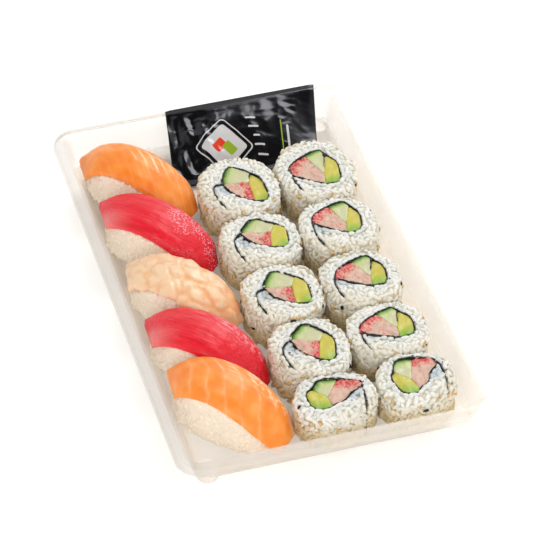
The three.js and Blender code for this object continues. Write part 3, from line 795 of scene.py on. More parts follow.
def formed_tray(settings):
    """The sheet as a closed skin: its upper face, its under face, and four hollow feet. Also gives
    how hazy each point is, and how much of the floor's tint it has against the painted shade of the
    left wall."""
    sheet = settings.sheet / MM
    upper = softened(np.array(RIM), closed=False, rounds=3)
    under = upper - sheet * sideways(upper, closed=False)
    points, faces, haze, level = [], [], [], []

    def ring_of(ring, on_floor, hidden):
        points.extend(ring)
        # Painted shade: towards the left, the walls keep the darker wall tint.
        level.extend([max(float(on_floor), np.interp(x, *WALL_SHADE_FADE)) for x, _, _ in ring])
        haze.extend([hidden] * len(ring))
        return list(range(len(points) - len(ring), len(points)))

    def wall_ring(inset, z):
        on_floor = inset > FLOOR_EDGE
        hidden = settings.floor_haze if on_floor else settings.wall_haze
        return ring_of(rounded_ring(inset, z), on_floor, hidden)

    def join(first, second):
        count = len(first)
        for i in range(count):
            j = (i + 1) % count
            faces.append((first[i], first[j], second[j], second[i]))

    def cup(side_x, side_y, top, bottom, z_top, z_bottom):
        x, y = side_x * (HALF_X - FOOT_INSET), side_y * (HALF_Y - FOOT_INSET)
        # Radius and height: the rounded upper edge, the rounded lower edge and a ring in the bottom.
        upper_edge = [(top + 0.2, z_top), (top, z_top - 0.4)]
        lower_edge = [(bottom + 0.2, z_bottom + 0.8), (bottom - 0.5, z_bottom), (bottom * 0.5, z_bottom)]
        turn = [2 * math.pi * i / FOOT_SIDES for i in range(FOOT_SIDES)]
        rings = []
        for edge, on_floor, hidden in ((upper_edge, True, settings.floor_haze),
                                       (lower_edge, False, settings.foot_haze)):
            for radius, z in edge:
                ring = [(x + radius * math.cos(a), y + radius * math.sin(a), z) for a in turn]
                rings.append(ring_of(ring, on_floor, hidden))
        for first, second in zip(rings, rings[1:]):
            join(second, first)
        faces.append(tuple(rings[-1]))
        return rings[0]

    def floor(outer, cups):
        loops = [outer, *[loop[::-1] for loop in cups]]
        flat = [i for loop in loops for i in loop]
        corners = [[Vector(points[i]) for i in loop] for loop in loops]
        faces.extend(tuple(flat[k] for k in corner) for corner in tessellate_polygon(corners))

    sides = [(x, y) for x in (-1, 1) for y in (-1, 1)]
    rings = [wall_ring(inset, z) for inset, z in [*upper, *under[::-1]]]
    for first, second in zip(rings, rings[1:]):
        join(first, second)
    top, base = RIM[0][1], RIM[0][1] - sheet
    floor(rings[0], [cup(*side, FOOT_TOP - sheet, FOOT_BOTTOM - sheet, top, sheet) for side in sides])
    floor(rings[-1], [cup(*side, FOOT_TOP, FOOT_BOTTOM, base, 0) for side in sides])
    return points, faces, {"haze": haze, "level": level}


def face_outwards(piece):
    """Turns every face of a closed piece outwards."""
    bpy.context.view_layer.objects.active = piece
    bpy.ops.object.select_all(action="DESELECT")
    piece.select_set(True)
    bpy.ops.object.mode_set(mode="EDIT")
    bpy.ops.mesh.select_all(action="SELECT")
    bpy.ops.mesh.normals_make_consistent(inside=False)
    bpy.ops.object.mode_set(mode="OBJECT")


def against_walls(points):
    """Presses points that would cross the tray's walls or floor flat against them."""
    inset = np.interp(points[:, 2], [WALL_FOOT[1], WALL_TOP[1]], [WALL_FOOT[0], WALL_TOP[0]]) + WALL_GAP
    points[:, 0] = np.clip(points[:, 0], inset - HALF_X, HALF_X - inset)
    points[:, 1] = np.clip(points[:, 1], inset - HALF_Y, HALF_Y - inset)
    points[:, 2] = np.maximum(points[:, 2], WALL_FOOT[1] + FLOOR_GAP)
    return points


# ---------------------------------------------------------------- rice

UP = (0.0, 0.0, 1.0)
# The nets that pieces are made from: width of a square in millimetres, and rounds of smoothing.
RICE_NET, SLICE_NET = (1.2, 6), (0.85, 12)
# How many random places are tried for each one that fits.
TRIES = 4.5
# In millimetres: how much the core under the grains swells and dips, between which distances from
# the hole it sinks, and between which heights on a grain the painted shade of its crease fades.
CORE_WAVE = 0.7
HOLE_RIM = (0.6, 2.4)
CREASE_LIFT = (-0.3, 0.7)
# The slope of a grain, and its length, width and thickness as shares of the settings'.
GRAIN_TILT = 0.28
GRAIN_LONG, GRAIN_WIDE, GRAIN_THICK = (0.7, 1.15), (0.82, 1.15), (0.75, 1.0)
# For a roll and for a nigiri: how far the core lies under the solid's surface and the grains rise
# from it, in millimetres, how far apart the grains are as a share of the setting, and how many
# sides they have. A nigiri is pressed, so its grains lie deeper and its painted crease shade is weaker.
ROLL_RICE = {"sink": 0.6, "rise": (-0.55, 0.25), "spread": 1.0, "sides": 8}
NIGIRI_RICE = {"sink": 0.15, "rise": (-1.0, -0.45), "spread": 1.15, "sides": 6}
PRESSED_CREASE = 0.12
# Where each kind of piece starts counting its random numbers.
ROLL_SEED, SEAWEED_SEED, NIGIRI_SEED, SESAME_SEED = 100, 200, 300, 400


def scatter(points, quads, spacing, random):
    """Places spread over a net, none nearer than spacing to another, and the net's normals there."""
    triangles = np.vstack([quads[:, [0, 1, 2]], quads[:, [0, 2, 3]]])
    a, b, c = (points[triangles[:, i]] for i in range(3))
    crossed = np.cross(b - a, c - a)
    area = np.linalg.norm(crossed, axis=1)
    chosen = random.choice(len(area), int(TRIES * area.sum() / 2 / spacing ** 2), p=area / area.sum())
    u, v = random.random((2, len(chosen)))
    flip = u + v > 1
    u, v = np.where(flip, 1 - u, u), np.where(flip, 1 - v, v)
    places = a[chosen] + u[:, None] * (b - a)[chosen] + v[:, None] * (c - a)[chosen]
    taken, kept = {}, []
    for number, place in enumerate(places):
        x, y, z = box = tuple((place // spacing).astype(int))
        around = ((x + i, y + j, z + k) for i in (-1, 0, 1) for j in (-1, 0, 1) for k in (-1, 0, 1))
        near = (other for key in around for other in taken.get(key, ()))
        if all(((places[other] - place) ** 2).sum() > spacing ** 2 for other in near):
            taken.setdefault(box, []).append(number)
            kept.append(number)
    return places[kept], crossed[chosen[kept]] / area[chosen[kept]][:, None]


def drop_shape(blunt, sides=6):
    """A small rounded body one unit long and wide, its ends more or less blunt."""
    stations = (-0.86, -0.48, 0, 0.48, 0.86)
    points, faces = [(-0.5, 0, 0)], []
    for station in stations:
        radius = 0.5 * (1 - abs(station) ** blunt[int(station > 0)]) ** 0.5
        for side in range(sides):
            angle = 2 * math.pi * side / sides
            points.append((station / 2, radius * math.cos(angle), radius * math.sin(angle)))
    points.append((0.5, 0, 0))
    last = len(points) - 1
    for side in range(sides):
        onward = (side + 1) % sides
        faces.append((0, 1 + onward, 1 + side))
        faces.append((last, last - sides + side, last - sides + onward))
        for ring in range(len(stations) - 1):
            start = 1 + ring * sides
            faces.append((start + side, start + onward, start + sides + onward))
            faces.append((start + side, start + sides + onward, start + sides + side))
    return np.array(points), np.array(faces)


def laid_out(shape, places, lengthways, upward, sizes):
    """Copies of a small body at places, pointing lengthways, with their own sizes."""
    body, faces = shape
    across = np.cross(upward, lengthways)
    across /= np.linalg.norm(across, axis=1, keepdims=True)
    lengthways = lengthways / np.linalg.norm(lengthways, axis=1, keepdims=True)
    up = np.cross(lengthways, across)
    scaled = body[None] * sizes[:, None, :]
    points = places[:, None] + sum(scaled[..., k:k + 1] * axis[:, None]
                                   for k, axis in enumerate((lengthways, across, up)))
    offsets = np.arange(len(places))[:, None, None] * len(body)
    return points.reshape(-1, 3), (faces[None] + offsets).reshape(-1, 3)


def tangents(normals, random):
    """A random direction along the surface at each normal."""
    lean = random.normal(size=normals.shape)
    lean -= (lean * normals).sum(axis=1, keepdims=True) * normals
    return lean / np.linalg.norm(lean, axis=1, keepdims=True)


def drum_outline(node):
    """The widest outline of a solid seen from above, anticlockwise."""
    points = cad_solid(node)[0][:, :2]
    return points[convex_hull_2d(points.tolist())]


def rice_core(node, sink, hole):
    """The rice under its grains: the solid in soft waves, drawn in except at the hole's edge."""
    core, quads = fine_net(node, *RICE_NET)
    shrink = np.full(len(core), sink)
    if hole is not None:
        shrink *= ease(distances(core, hole), *HOLE_RIM)
    wave = CORE_WAVE * (lumps(core, 8, 3) + 0.5 * lumps(core, 3.6, 4))
    return core + normals_of(core, quads) * (wave - shrink)[:, None], quads


def rows_beside(line, closed, hole, long, width, top, random):
    """Places of grains that lie end to end on both sides of a seaweed line, and how they point."""
    row = evenly(line, long * 0.6, closed)
    out = sideways(row, closed)
    along = np.column_stack([-out[:, 1], out[:, 0], np.zeros(len(out))])
    places, pointing = [], []
    for side in (1, -1):
        laid = row + side * out * width * (0.5 if closed else 0.62)
        height = top - width * 0.5 + random.normal(scale=0.1, size=len(laid))
        kept = ~inside(laid, hole)
        places.append(np.column_stack([laid, height])[kept])
        pointing.append(along[kept])
    return np.vstack(places), np.vstack(pointing)


def rice_mass(node, settings, random, sink, rise, spread, sides, lines=(), hole=None):
    """Rice as a core covered with grains, pressed into each other. Grains lie beside the seaweed's
    lines. Also gives how deep each point lies between the grains, which sets the painted crease shade,
    and how clear its grain is."""
    width, long = settings.grain_width / MM, settings.grain_length / MM
    core, quads = rice_core(node, sink, hole)
    places, normals = scatter(core, quads, settings.spacing / MM * spread, random)
    shown = normals[:, 2] > -0.5
    if hole is not None:
        shown &= (distances(places, hole) > width * 0.4) & ~inside(places[:, :2], hole)
    places, normals = places[shown], normals[shown]
    direction = tangents(normals, random)
    direction += normals * random.uniform(-GRAIN_TILT, GRAIN_TILT, (len(places), 1))
    on_top = normals[:, 2] > 0.75
    for line, closed in lines:
        apart, along = to_path(places[:, :2], line, closed)
        beside = on_top & (apart < long * 0.4)
        direction[beside, :2] = along[beside] + random.normal(scale=0.25, size=(beside.sum(), 2))
        direction[beside, 2] = random.normal(scale=0.1, size=beside.sum())
        free = ~(on_top & (apart < width * 0.3))
        row, pointing = rows_beside(line, closed, hole, long, width, core[:, 2].max() + sink, random)
        places = np.vstack([places[free], row])
        normals = np.vstack([normals[free], np.tile(UP, (len(row), 1))])
        direction = np.vstack([direction[free], pointing])
        on_top = np.append(on_top[free], np.ones(len(row), bool))
    count = len(places)
    sizes = np.stack([
        long * random.uniform(*GRAIN_LONG, count) * np.where(on_top, 0.85, 1),
        width * random.uniform(*GRAIN_WIDE, count),
        width * random.uniform(*GRAIN_THICK, count),
    ], axis=1)
    places = places + normals * random.uniform(*rise, (count, 1))
    grains, triangles = laid_out(drop_shape((3.0, 3.0), sides), places, direction, normals, sizes)
    lift = ((grains.reshape(count, -1, 3) - places[:, None]) * normals[:, None]).sum(axis=2).ravel()
    # Painted shade in the creases: full on the core, fading up the sides of each grain.
    crease = np.concatenate([np.ones(len(core)), 1 - ease(lift, *CREASE_LIFT)])
    clear = np.concatenate([np.zeros(len(core)), np.repeat(random.random(count), len(grains) // count)])
    faces = quads.tolist() + (triangles + len(core)).tolist()
    return against_walls(np.vstack([core, grains])), faces, {"crease": crease, "clear": clear}


# ---------------------------------------------------------------- rolls

# In millimetres: how far the seaweed lies out from the fillings, and, from the middle of a roll,
# where its free end runs out through the rice at the side, or in front on the two front rolls.
WRAP_GAP = 0.74
SIDE_TAIL = [(-12.6, 3.2), (-13.8, -3.0), (-13.0, -10.0), (-10.8, -17.0)]
FRONT_TAIL = [(13.8, 3.6), (14.0, -3.0), (12.4, -10.0), (11.2, -16.0)]
# How far towards the outside of the rice the free end may reach.
TAIL_REACH = {"roll_left_5": 1.0, "roll_right_5": 0.92}
USUAL_REACH = 0.84
# The rolls whose sheet folds in between two fillings.
FOLDED = ("roll_right_1", "roll_right_3", "roll_right_4", "roll_left_1")
# The least thickness of the sheet, in millimetres, where it is stretched.
THIN_SHEET = 0.12
# The rice dips beside the free end: how deep, and between which distances from the dip's middle.
DIP_DEPTH, DIP_RIM = 0.9, (3.0, 8.0)
# Heights between which the rice turns from the side to the cut face, which gets the dip, the painted
# pocket shade and less painted crease shade, and between which the painted warm shade low between the
# pieces fades.
CUT_LIGHT = (FOOD_BOTTOM + 14, FOOD_BOTTOM + 19)
LOW_LIGHT = (FOOD_BOTTOM + 4, FOOD_BOTTOM + ROLL_HEIGHT - 2)


def fillings_outline(roll):
    """The outline round a roll's fillings, anticlockwise, without the corners where they meet."""
    outlines = [flat_outline(f"{roll}_{kind}") for kind in FILLINGS]
    arcs, corners = [], []
    for number, outline in enumerate(outlines):
        others = outlines[:number] + outlines[number + 1:]
        apart = sum(np.linalg.norm(outline[:, None] - other[None], axis=2).min(axis=1) for other in others)
        corners.append(outline[apart.argmin()])
        arcs.append(np.roll(outline, -apart.argmin(), axis=0)[1:])
    meet = np.mean(corners, axis=0)
    arcs.sort(key=lambda arc: math.atan2(*(arc.mean(axis=0) - meet)[::-1]))
    return np.vstack(arcs)


def roll_lines(roll):
    """The seaweed's two lines in a roll: round the fillings, and its free end through the rice."""
    middle = middle_of(roll + "_rice")
    wrap = evenly(softened(fillings_outline(roll), closed=True, rounds=1), 1.0, closed=True)
    wrap = wrap + sideways(wrap, closed=True) * WRAP_GAP
    front = roll.endswith("5")
    free_end = np.array(FRONT_TAIL if front else SIDE_TAIL) + middle
    corner = wrap[(wrap[:, 0] * (1 if front else -1) - 0.2 * wrap[:, 1]).argmax()]
    tail = evenly(softened(np.vstack([corner, free_end]), closed=False), 0.7, closed=False)
    room = middle + (drum_outline(roll + "_rice") - middle) * TAIL_REACH.get(roll, USUAL_REACH)
    return wrap, tail[inside(tail, room)]


def roll_rice(roll, settings, random):
    """A roll's ring of rice, which dips beside the seaweed's free end, with painted shade low on its sides
    and in the dip.
    """
    wrap, tail = roll_lines(roll)
    lines, hole = [(wrap, True), (tail, False)], evenly(wrap, 0.3, closed=True)
    points, faces, values = rice_mass(roll + "_rice", settings, random, **ROLL_RICE, lines=lines, hole=hole)
    dip = tail[len(tail) // 3] * 0.6 + wrap.mean(axis=0) * 0.4
    near = 1 - ease(np.linalg.norm(points[:, :2] - dip, axis=1), *DIP_RIM)
    upper = ease(points[:, 2], *CUT_LIGHT)
    points[:, 2] -= DIP_DEPTH * near * upper
    apart = distances(points, wrap)
    # Painted shade: darker cream low on the sides and towards the roll's outer edge.
    values["low"] = np.maximum(1 - ease(points[:, 2], *LOW_LIGHT), 0.3 * ease(apart, 5.0, 11.0))
    # Painted shade: cool grey in the dip and close inside the seaweed, on the cut face.
    values["pocket"] = np.maximum(near * upper, 0.22 * (1 - ease(apart, 1.5, 6.0)) * upper)
    # Less painted crease shade on the cut face.
    values["crease"] *= 1 - 0.4 * upper
    return points, faces, values


def seaweed_strip(path, closed, thickness, low, high, random, ragged=0.5, taper=1.0):
    """A thin upright sheet along a path, ragged above, and folded double in a few short stretches."""
    path = evenly(path, 0.5, closed)
    count = len(path)
    out = sideways(path, closed)
    flat = np.column_stack([path, np.zeros(count)])
    uneven = 1 + 0.6 * lumps(flat, 1.6, 5) + 1.6 * ease(lumps(flat, 5.0, 8), 0.42, 0.6)
    thick = np.maximum(thickness * uneven * np.linspace(1, taper, count), THIN_SHEET)[:, None] / 2
    wave = 0.3 * lumps(flat, 3.0, 7)[:, None]
    top = high + ragged * lumps(flat, 1.5, 2) + 0.12 * random.normal(size=count)
    rings = []
    for z, part in ((low, 0.0), (high - 2, 0.6)):
        rings += [np.column_stack([path + out * (wave * part + side * thick), np.full(count, z)])
                  for side in (1, -1)]
    rings += [np.column_stack([path + out * (wave + side * thick * 0.8), top]) for side in (1, -1)]
    order = [0, 2, 4, 5, 3, 1]
    faces = []
    for i in range(count if closed else count - 1):
        j = (i + 1) % count
        for first, second in zip(order, order[1:] + order[:1]):
            faces.append((first * count + i, first * count + j, second * count + j, second * count + i))
    if not closed:
        faces.append(tuple(ring * count for ring in order))
        faces.append(tuple(ring * count + count - 1 for ring in order[::-1]))
    return np.vstack(rings), faces


def fold_line(roll):
    """Where the sheet turns in between the cucumber and the avocado, from the outside inwards."""
    cucumber, avocado, crab = (flat_outline(f"{roll}_{kind}") for kind in ("cucumber", "avocado", "crab"))
    between = cucumber[distances(cucumber, evenly(avocado, 0.3, closed=True)) < 0.7]
    outer = between[distances(between, crab).argmax()]
    inner = between[distances(between, crab).argmin()]
    return np.array([outer + (outer - inner) * 0.08, outer * 0.35 + inner * 0.65])


def crumbs(paths, top, count, random):
    """Torn crumbs of seaweed, lying on the rice close to the sheet's edges."""
    path = np.vstack(paths)
    places = path[random.integers(len(path), size=count)] + random.normal(scale=1.1, size=(count, 2))
    places = places[~inside(places, paths[0])]
    count = len(places)
    places = np.column_stack([places, np.full(count, top - 0.1)])
    upward = np.tile(UP, (count, 1))
    sizes = random.uniform(0.45, 1.2, (count, 1)) * [1.0, 0.7, 0.5]
    return laid_out(drop_shape((2.0, 2.0)), places, tangents(upward, random), upward, sizes)


def roll_seaweed(roll, settings, random):
    """A roll's sheet of seaweed: round the fillings, its free end, its crumbs and its fold."""
    thickness = settings.seaweed_thickness / MM
    top = FOOD_BOTTOM + ROLL_HEIGHT + settings.seaweed_rise / MM
    wrap, tail = roll_lines(roll)
    parts = [
        seaweed_strip(wrap, True, thickness, FOOD_BOTTOM + 0.2, top, random),
        seaweed_strip(tail, False, thickness * 1.3, FOOD_BOTTOM + 1.2, top, random, ragged=0.8),
        crumbs([wrap, tail], top, settings.crumbs, random),
    ]
    if roll in FOLDED:
        parts.append(seaweed_strip(fold_line(roll), False, 1.0, top - 8, top + 0.3, random, taper=0.15))
    return joined(parts)


def joined(parts):
    """Several nets as one."""
    points, faces, start = [], [], 0
    for part_points, part_faces in parts:
        points.append(part_points)
        faces.extend(tuple(int(i) + start for i in face) for face in part_faces)
        start += len(part_points)
    return np.vstack(points), faces


# ---------------------------------------------------------------- fillings

# How far the pieces swell towards each other and towards the seaweed when the roll is pressed, in
# millimetres, and at which distances from the next piece that is so.
FILLING_SPREAD, SPREAD_REACH = (0.36, 0.56), (1.0, 2.5)

# For each kind: which way its green or red side faces (degrees from +X, for the rolls of the left
# row, the right row and the front pair), how squarely its edge must face there to be skin, how deep
# its colours run, and the coarse and fine relief of its cut face.
CUT_KINDS = {
    "cucumber": {"facing": (150, 112, 92), "turn": 0.45, "reach": 7.0, "relief": (0.35, 0.15)},
    "avocado": {"facing": (-62, -72, -100), "turn": 0.85, "reach": 10.5, "relief": (0.4, 0.15)},
    "crab": {"facing": (-20, 120, 100), "turn": 0.75, "reach": 7.5, "relief": (0.7, 0.9)},
}
# The rounded upper edge of a filling, from its side to its cut face: how far out from the outline,
# and how far under the cut face. Then the rings of the face, as shares of its width.
CUT_EDGE = ((0, 6), (0, 0.9), (-0.05, 0.45), (-0.2, 0.12), (-0.45, 0))
CUT_RINGS = (0.84, 0.68, 0.52, 0.36, 0.2, 0.08)


def soft_prism(outline, low, high, seed, relief):
    """An upright piece with rounded upper edges and an uneven cut face."""
    outline = softened(evenly(outline, 1.2, closed=True), closed=True, rounds=1)
    outline = evenly(outline, 0.6, closed=True)
    count = len(outline)
    middle = outline.mean(axis=0)
    out = sideways(outline, closed=True)
    outline = outline + out * (0.25 * lumps(np.column_stack([outline, np.zeros(count)]), 3.0, seed))[:, None]
    steps = [(0, low), *((grow, high - under) for grow, under in CUT_EDGE)]
    rings = [np.column_stack([outline + out * grow, np.full(count, z)]) for grow, z in steps]
    top = rings[-1][:, :2]
    rings += [np.column_stack([middle + (top - middle) * part, np.full(count, high)]) for part in CUT_RINGS]
    points = np.vstack(rings)
    faces = []
    for start in range(0, (len(rings) - 1) * count, count):
        for i in range(count):
            j = (i + 1) % count
            faces.append((start + i, start + j, start + count + j, start + count + i))
    faces.append(tuple(range(count))[::-1])
    faces.append(tuple(range((len(rings) - 1) * count, len(rings) * count)))
    upper = ease(points[:, 2], high - 1.5, high)
    coarse, fine = relief
    points[:, 2] += upper * (coarse * lumps(points, 4.0, seed) + fine * lumps(points, 1.3, seed + 1))
    return points, faces


def facing_of(roll, kind):
    """The direction from above that a filling's green or red side faces in a roll."""
    place = 2 if roll.endswith("5") else int("right" in roll)
    angle = math.radians(CUT_KINDS[kind]["facing"][place])
    return np.array([math.cos(angle), math.sin(angle)])


def cut_filling(roll, kind, seed):
    """One filling of a roll, swollen against its neighbours, and how deep each point lies in it."""
    node = f"{roll}_{kind}"
    outline = evenly(flat_outline(node), 0.6, closed=True)
    others = np.vstack([evenly(flat_outline(f"{roll}_{other}"), 0.6, closed=True)
                        for other in FILLINGS if other != kind])
    spread = np.interp(distances(outline, others), SPREAD_REACH, FILLING_SPREAD)
    outline = outline + sideways(outline, closed=True) * spread[:, None]
    low, high = (corner.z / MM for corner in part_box(node))
    look = CUT_KINDS[kind]
    points, faces = soft_prism(outline, low, high, seed, look["relief"])
    skin = outline[sideways(outline, closed=True) @ facing_of(roll, kind) > look["turn"]]
    depth = np.clip(distances(points, skin) / look["reach"], 0, 1)
    return points, faces, {"depth": 1 - depth if kind == "crab" else depth}


# ---------------------------------------------------------------- toppings

# The fat lines of each salmon slice: slant, bend, distance apart, their strength at the front edge
# and at the back edge, and how much painted highlight brightens them where the slice turns over.
SALMON_LINES = {
    "nigiri_salmon_1": (1.0, 0.02, 6.4, (0.2, 0.75), 0.8),
    "nigiri_salmon_2": (0.5, 0.05, 9.2, (0.35, 0.8), 0.0),
}
# How much painted glitter each tuna slice has, and how strong the painted highlight in pale streaks along
# each slice's back edge is.
TUNA_GLITTER = {"nigiri_tuna_1": 1.0, "nigiri_tuna_2": 0.4}
EDGE_HIGHLIGHT = {"nigiri_salmon_1": 0.4, "nigiri_tuna_1": 0.2, "nigiri_tuna_2": 0.7, "nigiri_salmon_2": 0.9}
# The width of a lump of prawn, and the length and depth of a slice's rounded ends, in millimetres.
PRAWN_LUMP = 8.5
END_LENGTH, END_DEPTH = 14.0, 6.0


def slice_place(points, middle, direction):
    """Points as distance along a topping, across it and up, in millimetres."""
    offset = points[:, :2] - middle
    left = np.array([-direction[1], direction[0]])
    return np.column_stack([offset @ direction, offset @ left, points[:, 2]])


def rounded_ends(local):
    """How far along each point lies once both ends of a slice are rounded off in their corners."""
    along, across = local[:, 0], local[:, 1]
    reach = np.abs(along).max()
    middle, half = (across.max() + across.min()) / 2, (across.max() - across.min()) / 2
    corner = np.abs(across - middle) / half
    near_end = ease(np.abs(along), reach - END_LENGTH, reach)
    return along - np.sign(along) * END_DEPTH * corner ** 2 * near_end


def salmon_surface(nigiri, number, local):
    """The relief of a salmon slice, and where its fat lines run and how strong they are, painted highlight
    included.
    """
    slant, bend, apart, strength, glint = SALMON_LINES[nigiri]
    along, across = local[:, 0], local[:, 1]
    line = (along + slant * across + bend * np.maximum(0, across + 2) ** 2) / apart
    fat_and_glint = np.interp(across, [-4, 10], strength) * (0.55 + 0.9 * lumps(local, 11, number + 3))
    fat_and_glint *= ease(along, -34, -8) * 0.8 + 0.2
    # Painted highlight: the fat lines are made paler in a patch where the slice turns over.
    painted_glint_patch = ease(across, -3, 1) * (1 - ease(across, 5, 9)) * ease(along, -10, 0) * (1 - ease(along, 8, 20))
    fat_and_glint += glint * painted_glint_patch
    groove = np.abs((line + 0.35) % 1 - 0.5) * 2
    relief = 0.2 * lumps(local, 8, number) - 0.12 * ease(groove, 0.8, 1)
    return relief, {"fibre": np.column_stack([line, np.maximum(fat_and_glint, 0), local[:, 2]])}


def tuna_surface(nigiri, number, local):
    """The relief of a tuna slice, its fibres, where it gets painted glitter, and where its end is pale."""
    along, across = local[:, 0], local[:, 1]
    relief = 0.22 * lumps(local, 9, number) + 0.14 * lumps(local * np.array([0.12, 1, 1]), 1.6, number)
    # Painted glitter: in patches, towards one end and one side of the slice.
    painted_glitter = ease(along, -6, 10) * (0.3 + 0.7 * ease(across, -10, 4))
    painted_glitter *= ease(lumps(local, 9, number + 1), -0.5, 0.3) * TUNA_GLITTER[nigiri]
    pale = 0.45 * (1 - ease(along, -26, -6)) * (1 - ease(across, -13, -4)) * ease(along, -38, -26)
    return relief, {"fibre": local, "painted_glitter": painted_glitter, "pale": pale}


def prawn_surface(nigiri, number, local):
    """The relief of a prawn, plump between its seams and drawn out to the tail, and its bands."""
    toward_tail = ease(local[:, 0], -12, 26)
    sheared = local + np.outer(0.5 * local[:, 1] + 2 * lumps(local, 9, number), [1, 0, 0])
    sheared += 1.3 * np.column_stack([lumps(local, 4.5, number + seed) for seed in (5, 6, 7)])
    across = np.full(len(local), 1 / PRAWN_LUMP)
    along = 1 / (PRAWN_LUMP * (1 + 1.2 * toward_tail))
    swell, seam = cells(sheared * np.column_stack([along, across, across]))
    relief = 0.9 * swell - 0.5 * seam + 0.35 * lumps(local, 3, number + 4) - 0.45
    return relief, {"band": 0.32 * seam * (0.4 + 0.6 * toward_tail) + 0.12 * toward_tail - 0.15 * swell}


SURFACES = {"salmon": salmon_surface, "tuna": tuna_surface, "shrimp": prawn_surface}


def sliced_topping(nigiri, number, yaw):
    """A topping with rounded ends and the relief of its kind, and what its material reads."""
    node = nigiri + "_topping"
    points, quads = fine_net(node, *SLICE_NET)
    direction = np.array([math.cos(yaw), math.sin(yaw)])
    local = slice_place(points, middle_of(node), direction)
    drawn = rounded_ends(local) - local[:, 0]
    points[:, :2] += drawn[:, None] * direction
    local[:, 0] += drawn
    relief, values = SURFACES[nigiri.split("_")[1]](nigiri, number, local)
    # Painted highlight: pale streaks along the back edge of the slice.
    if nigiri in EDGE_HIGHLIGHT:
        values["place"] = local
        values["edge"] = EDGE_HIGHLIGHT[nigiri] * ease(local[:, 1], 1, 7) * ease(local[:, 0], -16, 2)
    return points + normals_of(points, quads) * relief[:, None], quads, values


# ---------------------------------------------------------------- sesame

# In millimetres: how far apart the seeds lie at least, how high on a roll the lowest one is, how
# wide the patches are that they lie in, and how far the middle of a seed stands out of the rice.
SEED_SPACING, SEED_LOWEST, SEED_PATCH, SEED_RISE = 2.6, 9, 11, 0.35
# How far the rice under a seed may face downwards and upwards, and how thick a seed is to its width.
SEED_SLOPE, SEED_FLATNESS = (-0.3, 0.8), 0.55


def sprinkled(roll, number, count, size):
    """Sesame seeds in patches on the sides of a roll."""
    random = np.random.default_rng(SESAME_SEED + number + count * 50)
    places, normals = scatter(*fine_net(roll + "_rice", *RICE_NET), SEED_SPACING, random)
    outside = ~inside(places[:, :2], roll_lines(roll)[0])
    patch = (places[:, 2] > FOOD_BOTTOM + SEED_LOWEST) & (lumps(places, SEED_PATCH, number + 2) > -0.15)
    side = (normals[:, 2] > SEED_SLOPE[0]) & (normals[:, 2] < SEED_SLOPE[1])
    chosen = np.flatnonzero(outside & patch & side)[:count]
    places, normals = places[chosen], normals[chosen]
    sizes = size * random.uniform(0.85, 1.1, (len(places), 1))
    places = places + normals * SEED_RISE
    return laid_out(drop_shape((3.0, 1.4)), places, tangents(normals, random), normals, sizes)


# ---------------------------------------------------------------- sachet

SACHET_COLUMNS, SACHET_ROWS = 120, 72
# In millimetres: the width of the seals, how far it fades inwards and outwards, and the height of
# the crimps on them and the distance between two.
SEAL_WIDTH, SEAL_FADE = 5.0, (-0.6, 0.4)
CRIMP_HEIGHT, CRIMP_STEP = 0.08, 2.2
# The creases where the sachet is full, large and small: how far they wander and in lumps of which
# width, how wide they are themselves, in millimetres, and their height as a share of the setting.
CREASES = (
    {"bend": 3, "bend_width": 16, "bend_seed": 1, "width": 11, "seed": 4, "height": 0.9},
    {"bend": 2, "bend_width": 7, "bend_seed": 5, "width": 4.5, "seed": 6, "height": 0.35},
)
# The waves of the slack end: their height and width, and between which distances from the left
# edge they die down. The creases grow flatter between the other two.
WAVE_HEIGHT, WAVE_WIDTH, SLACK_END = 2.2, 5.5, (14, 30)
FLATTER = (20, 38)
# How far from the front face's print the back face looks for its own, where there is none.
BACK_PRINT = (200, 0, 0)


def sachet_sides():
    """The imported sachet's upper and lower face as two matching grids, and the same laid flat."""
    solid, triangles = cad_solid("sachet")
    tree = BVHTree.FromPolygons(solid.tolist(), triangles.tolist())
    top_y, bottom_y = solid[:, 1].max(), solid[:, 1].min()
    rows = np.unique(solid[:, 1])
    left = [solid[solid[:, 1] == y, 0].min() for y in rows]
    right = [solid[solid[:, 1] == y, 0].max() for y in rows]
    corner_x = solid[:, 0].min()
    upper, lower, flat = [], [], []
    for down in np.clip(np.linspace(0, 1, SACHET_ROWS), 1e-3, 1 - 1e-3):
        y = top_y + (bottom_y - top_y) * down
        x_left, x_right = np.interp(y, rows, left), np.interp(y, rows, right)
        for across in np.clip(np.linspace(0, 1, SACHET_COLUMNS), 1e-3, 1 - 1e-3):
            x = x_left + (x_right - x_left) * across
            for side, net in ((1, upper), (-1, lower)):
                hit = tree.ray_cast(Vector((x, y, 60.0 * side)), Vector((0, 0, -side)))[0]
                if hit is None:
                    raise RuntimeError("the sachet's solid has a gap")
                net.append((x, y, hit.z))
            flat.append((x - corner_x, y - top_y, 0))
    return np.array(upper), np.array(lower), np.array(flat)


def film_creases(flat, height):
    """Sharp creases in the film of a full sachet, longer across it than along it."""
    drawn = flat * np.array([0.75, 1, 1])
    total = np.zeros(len(flat))
    for crease in CREASES:
        bend = crease["bend"] * lumps(flat, crease["bend_width"], crease["bend_seed"])
        ridge = 1 - np.abs(lumps(drawn + bend[:, None], crease["width"], crease["seed"])) * 2.2
        total += crease["height"] * ridge
    return height * total


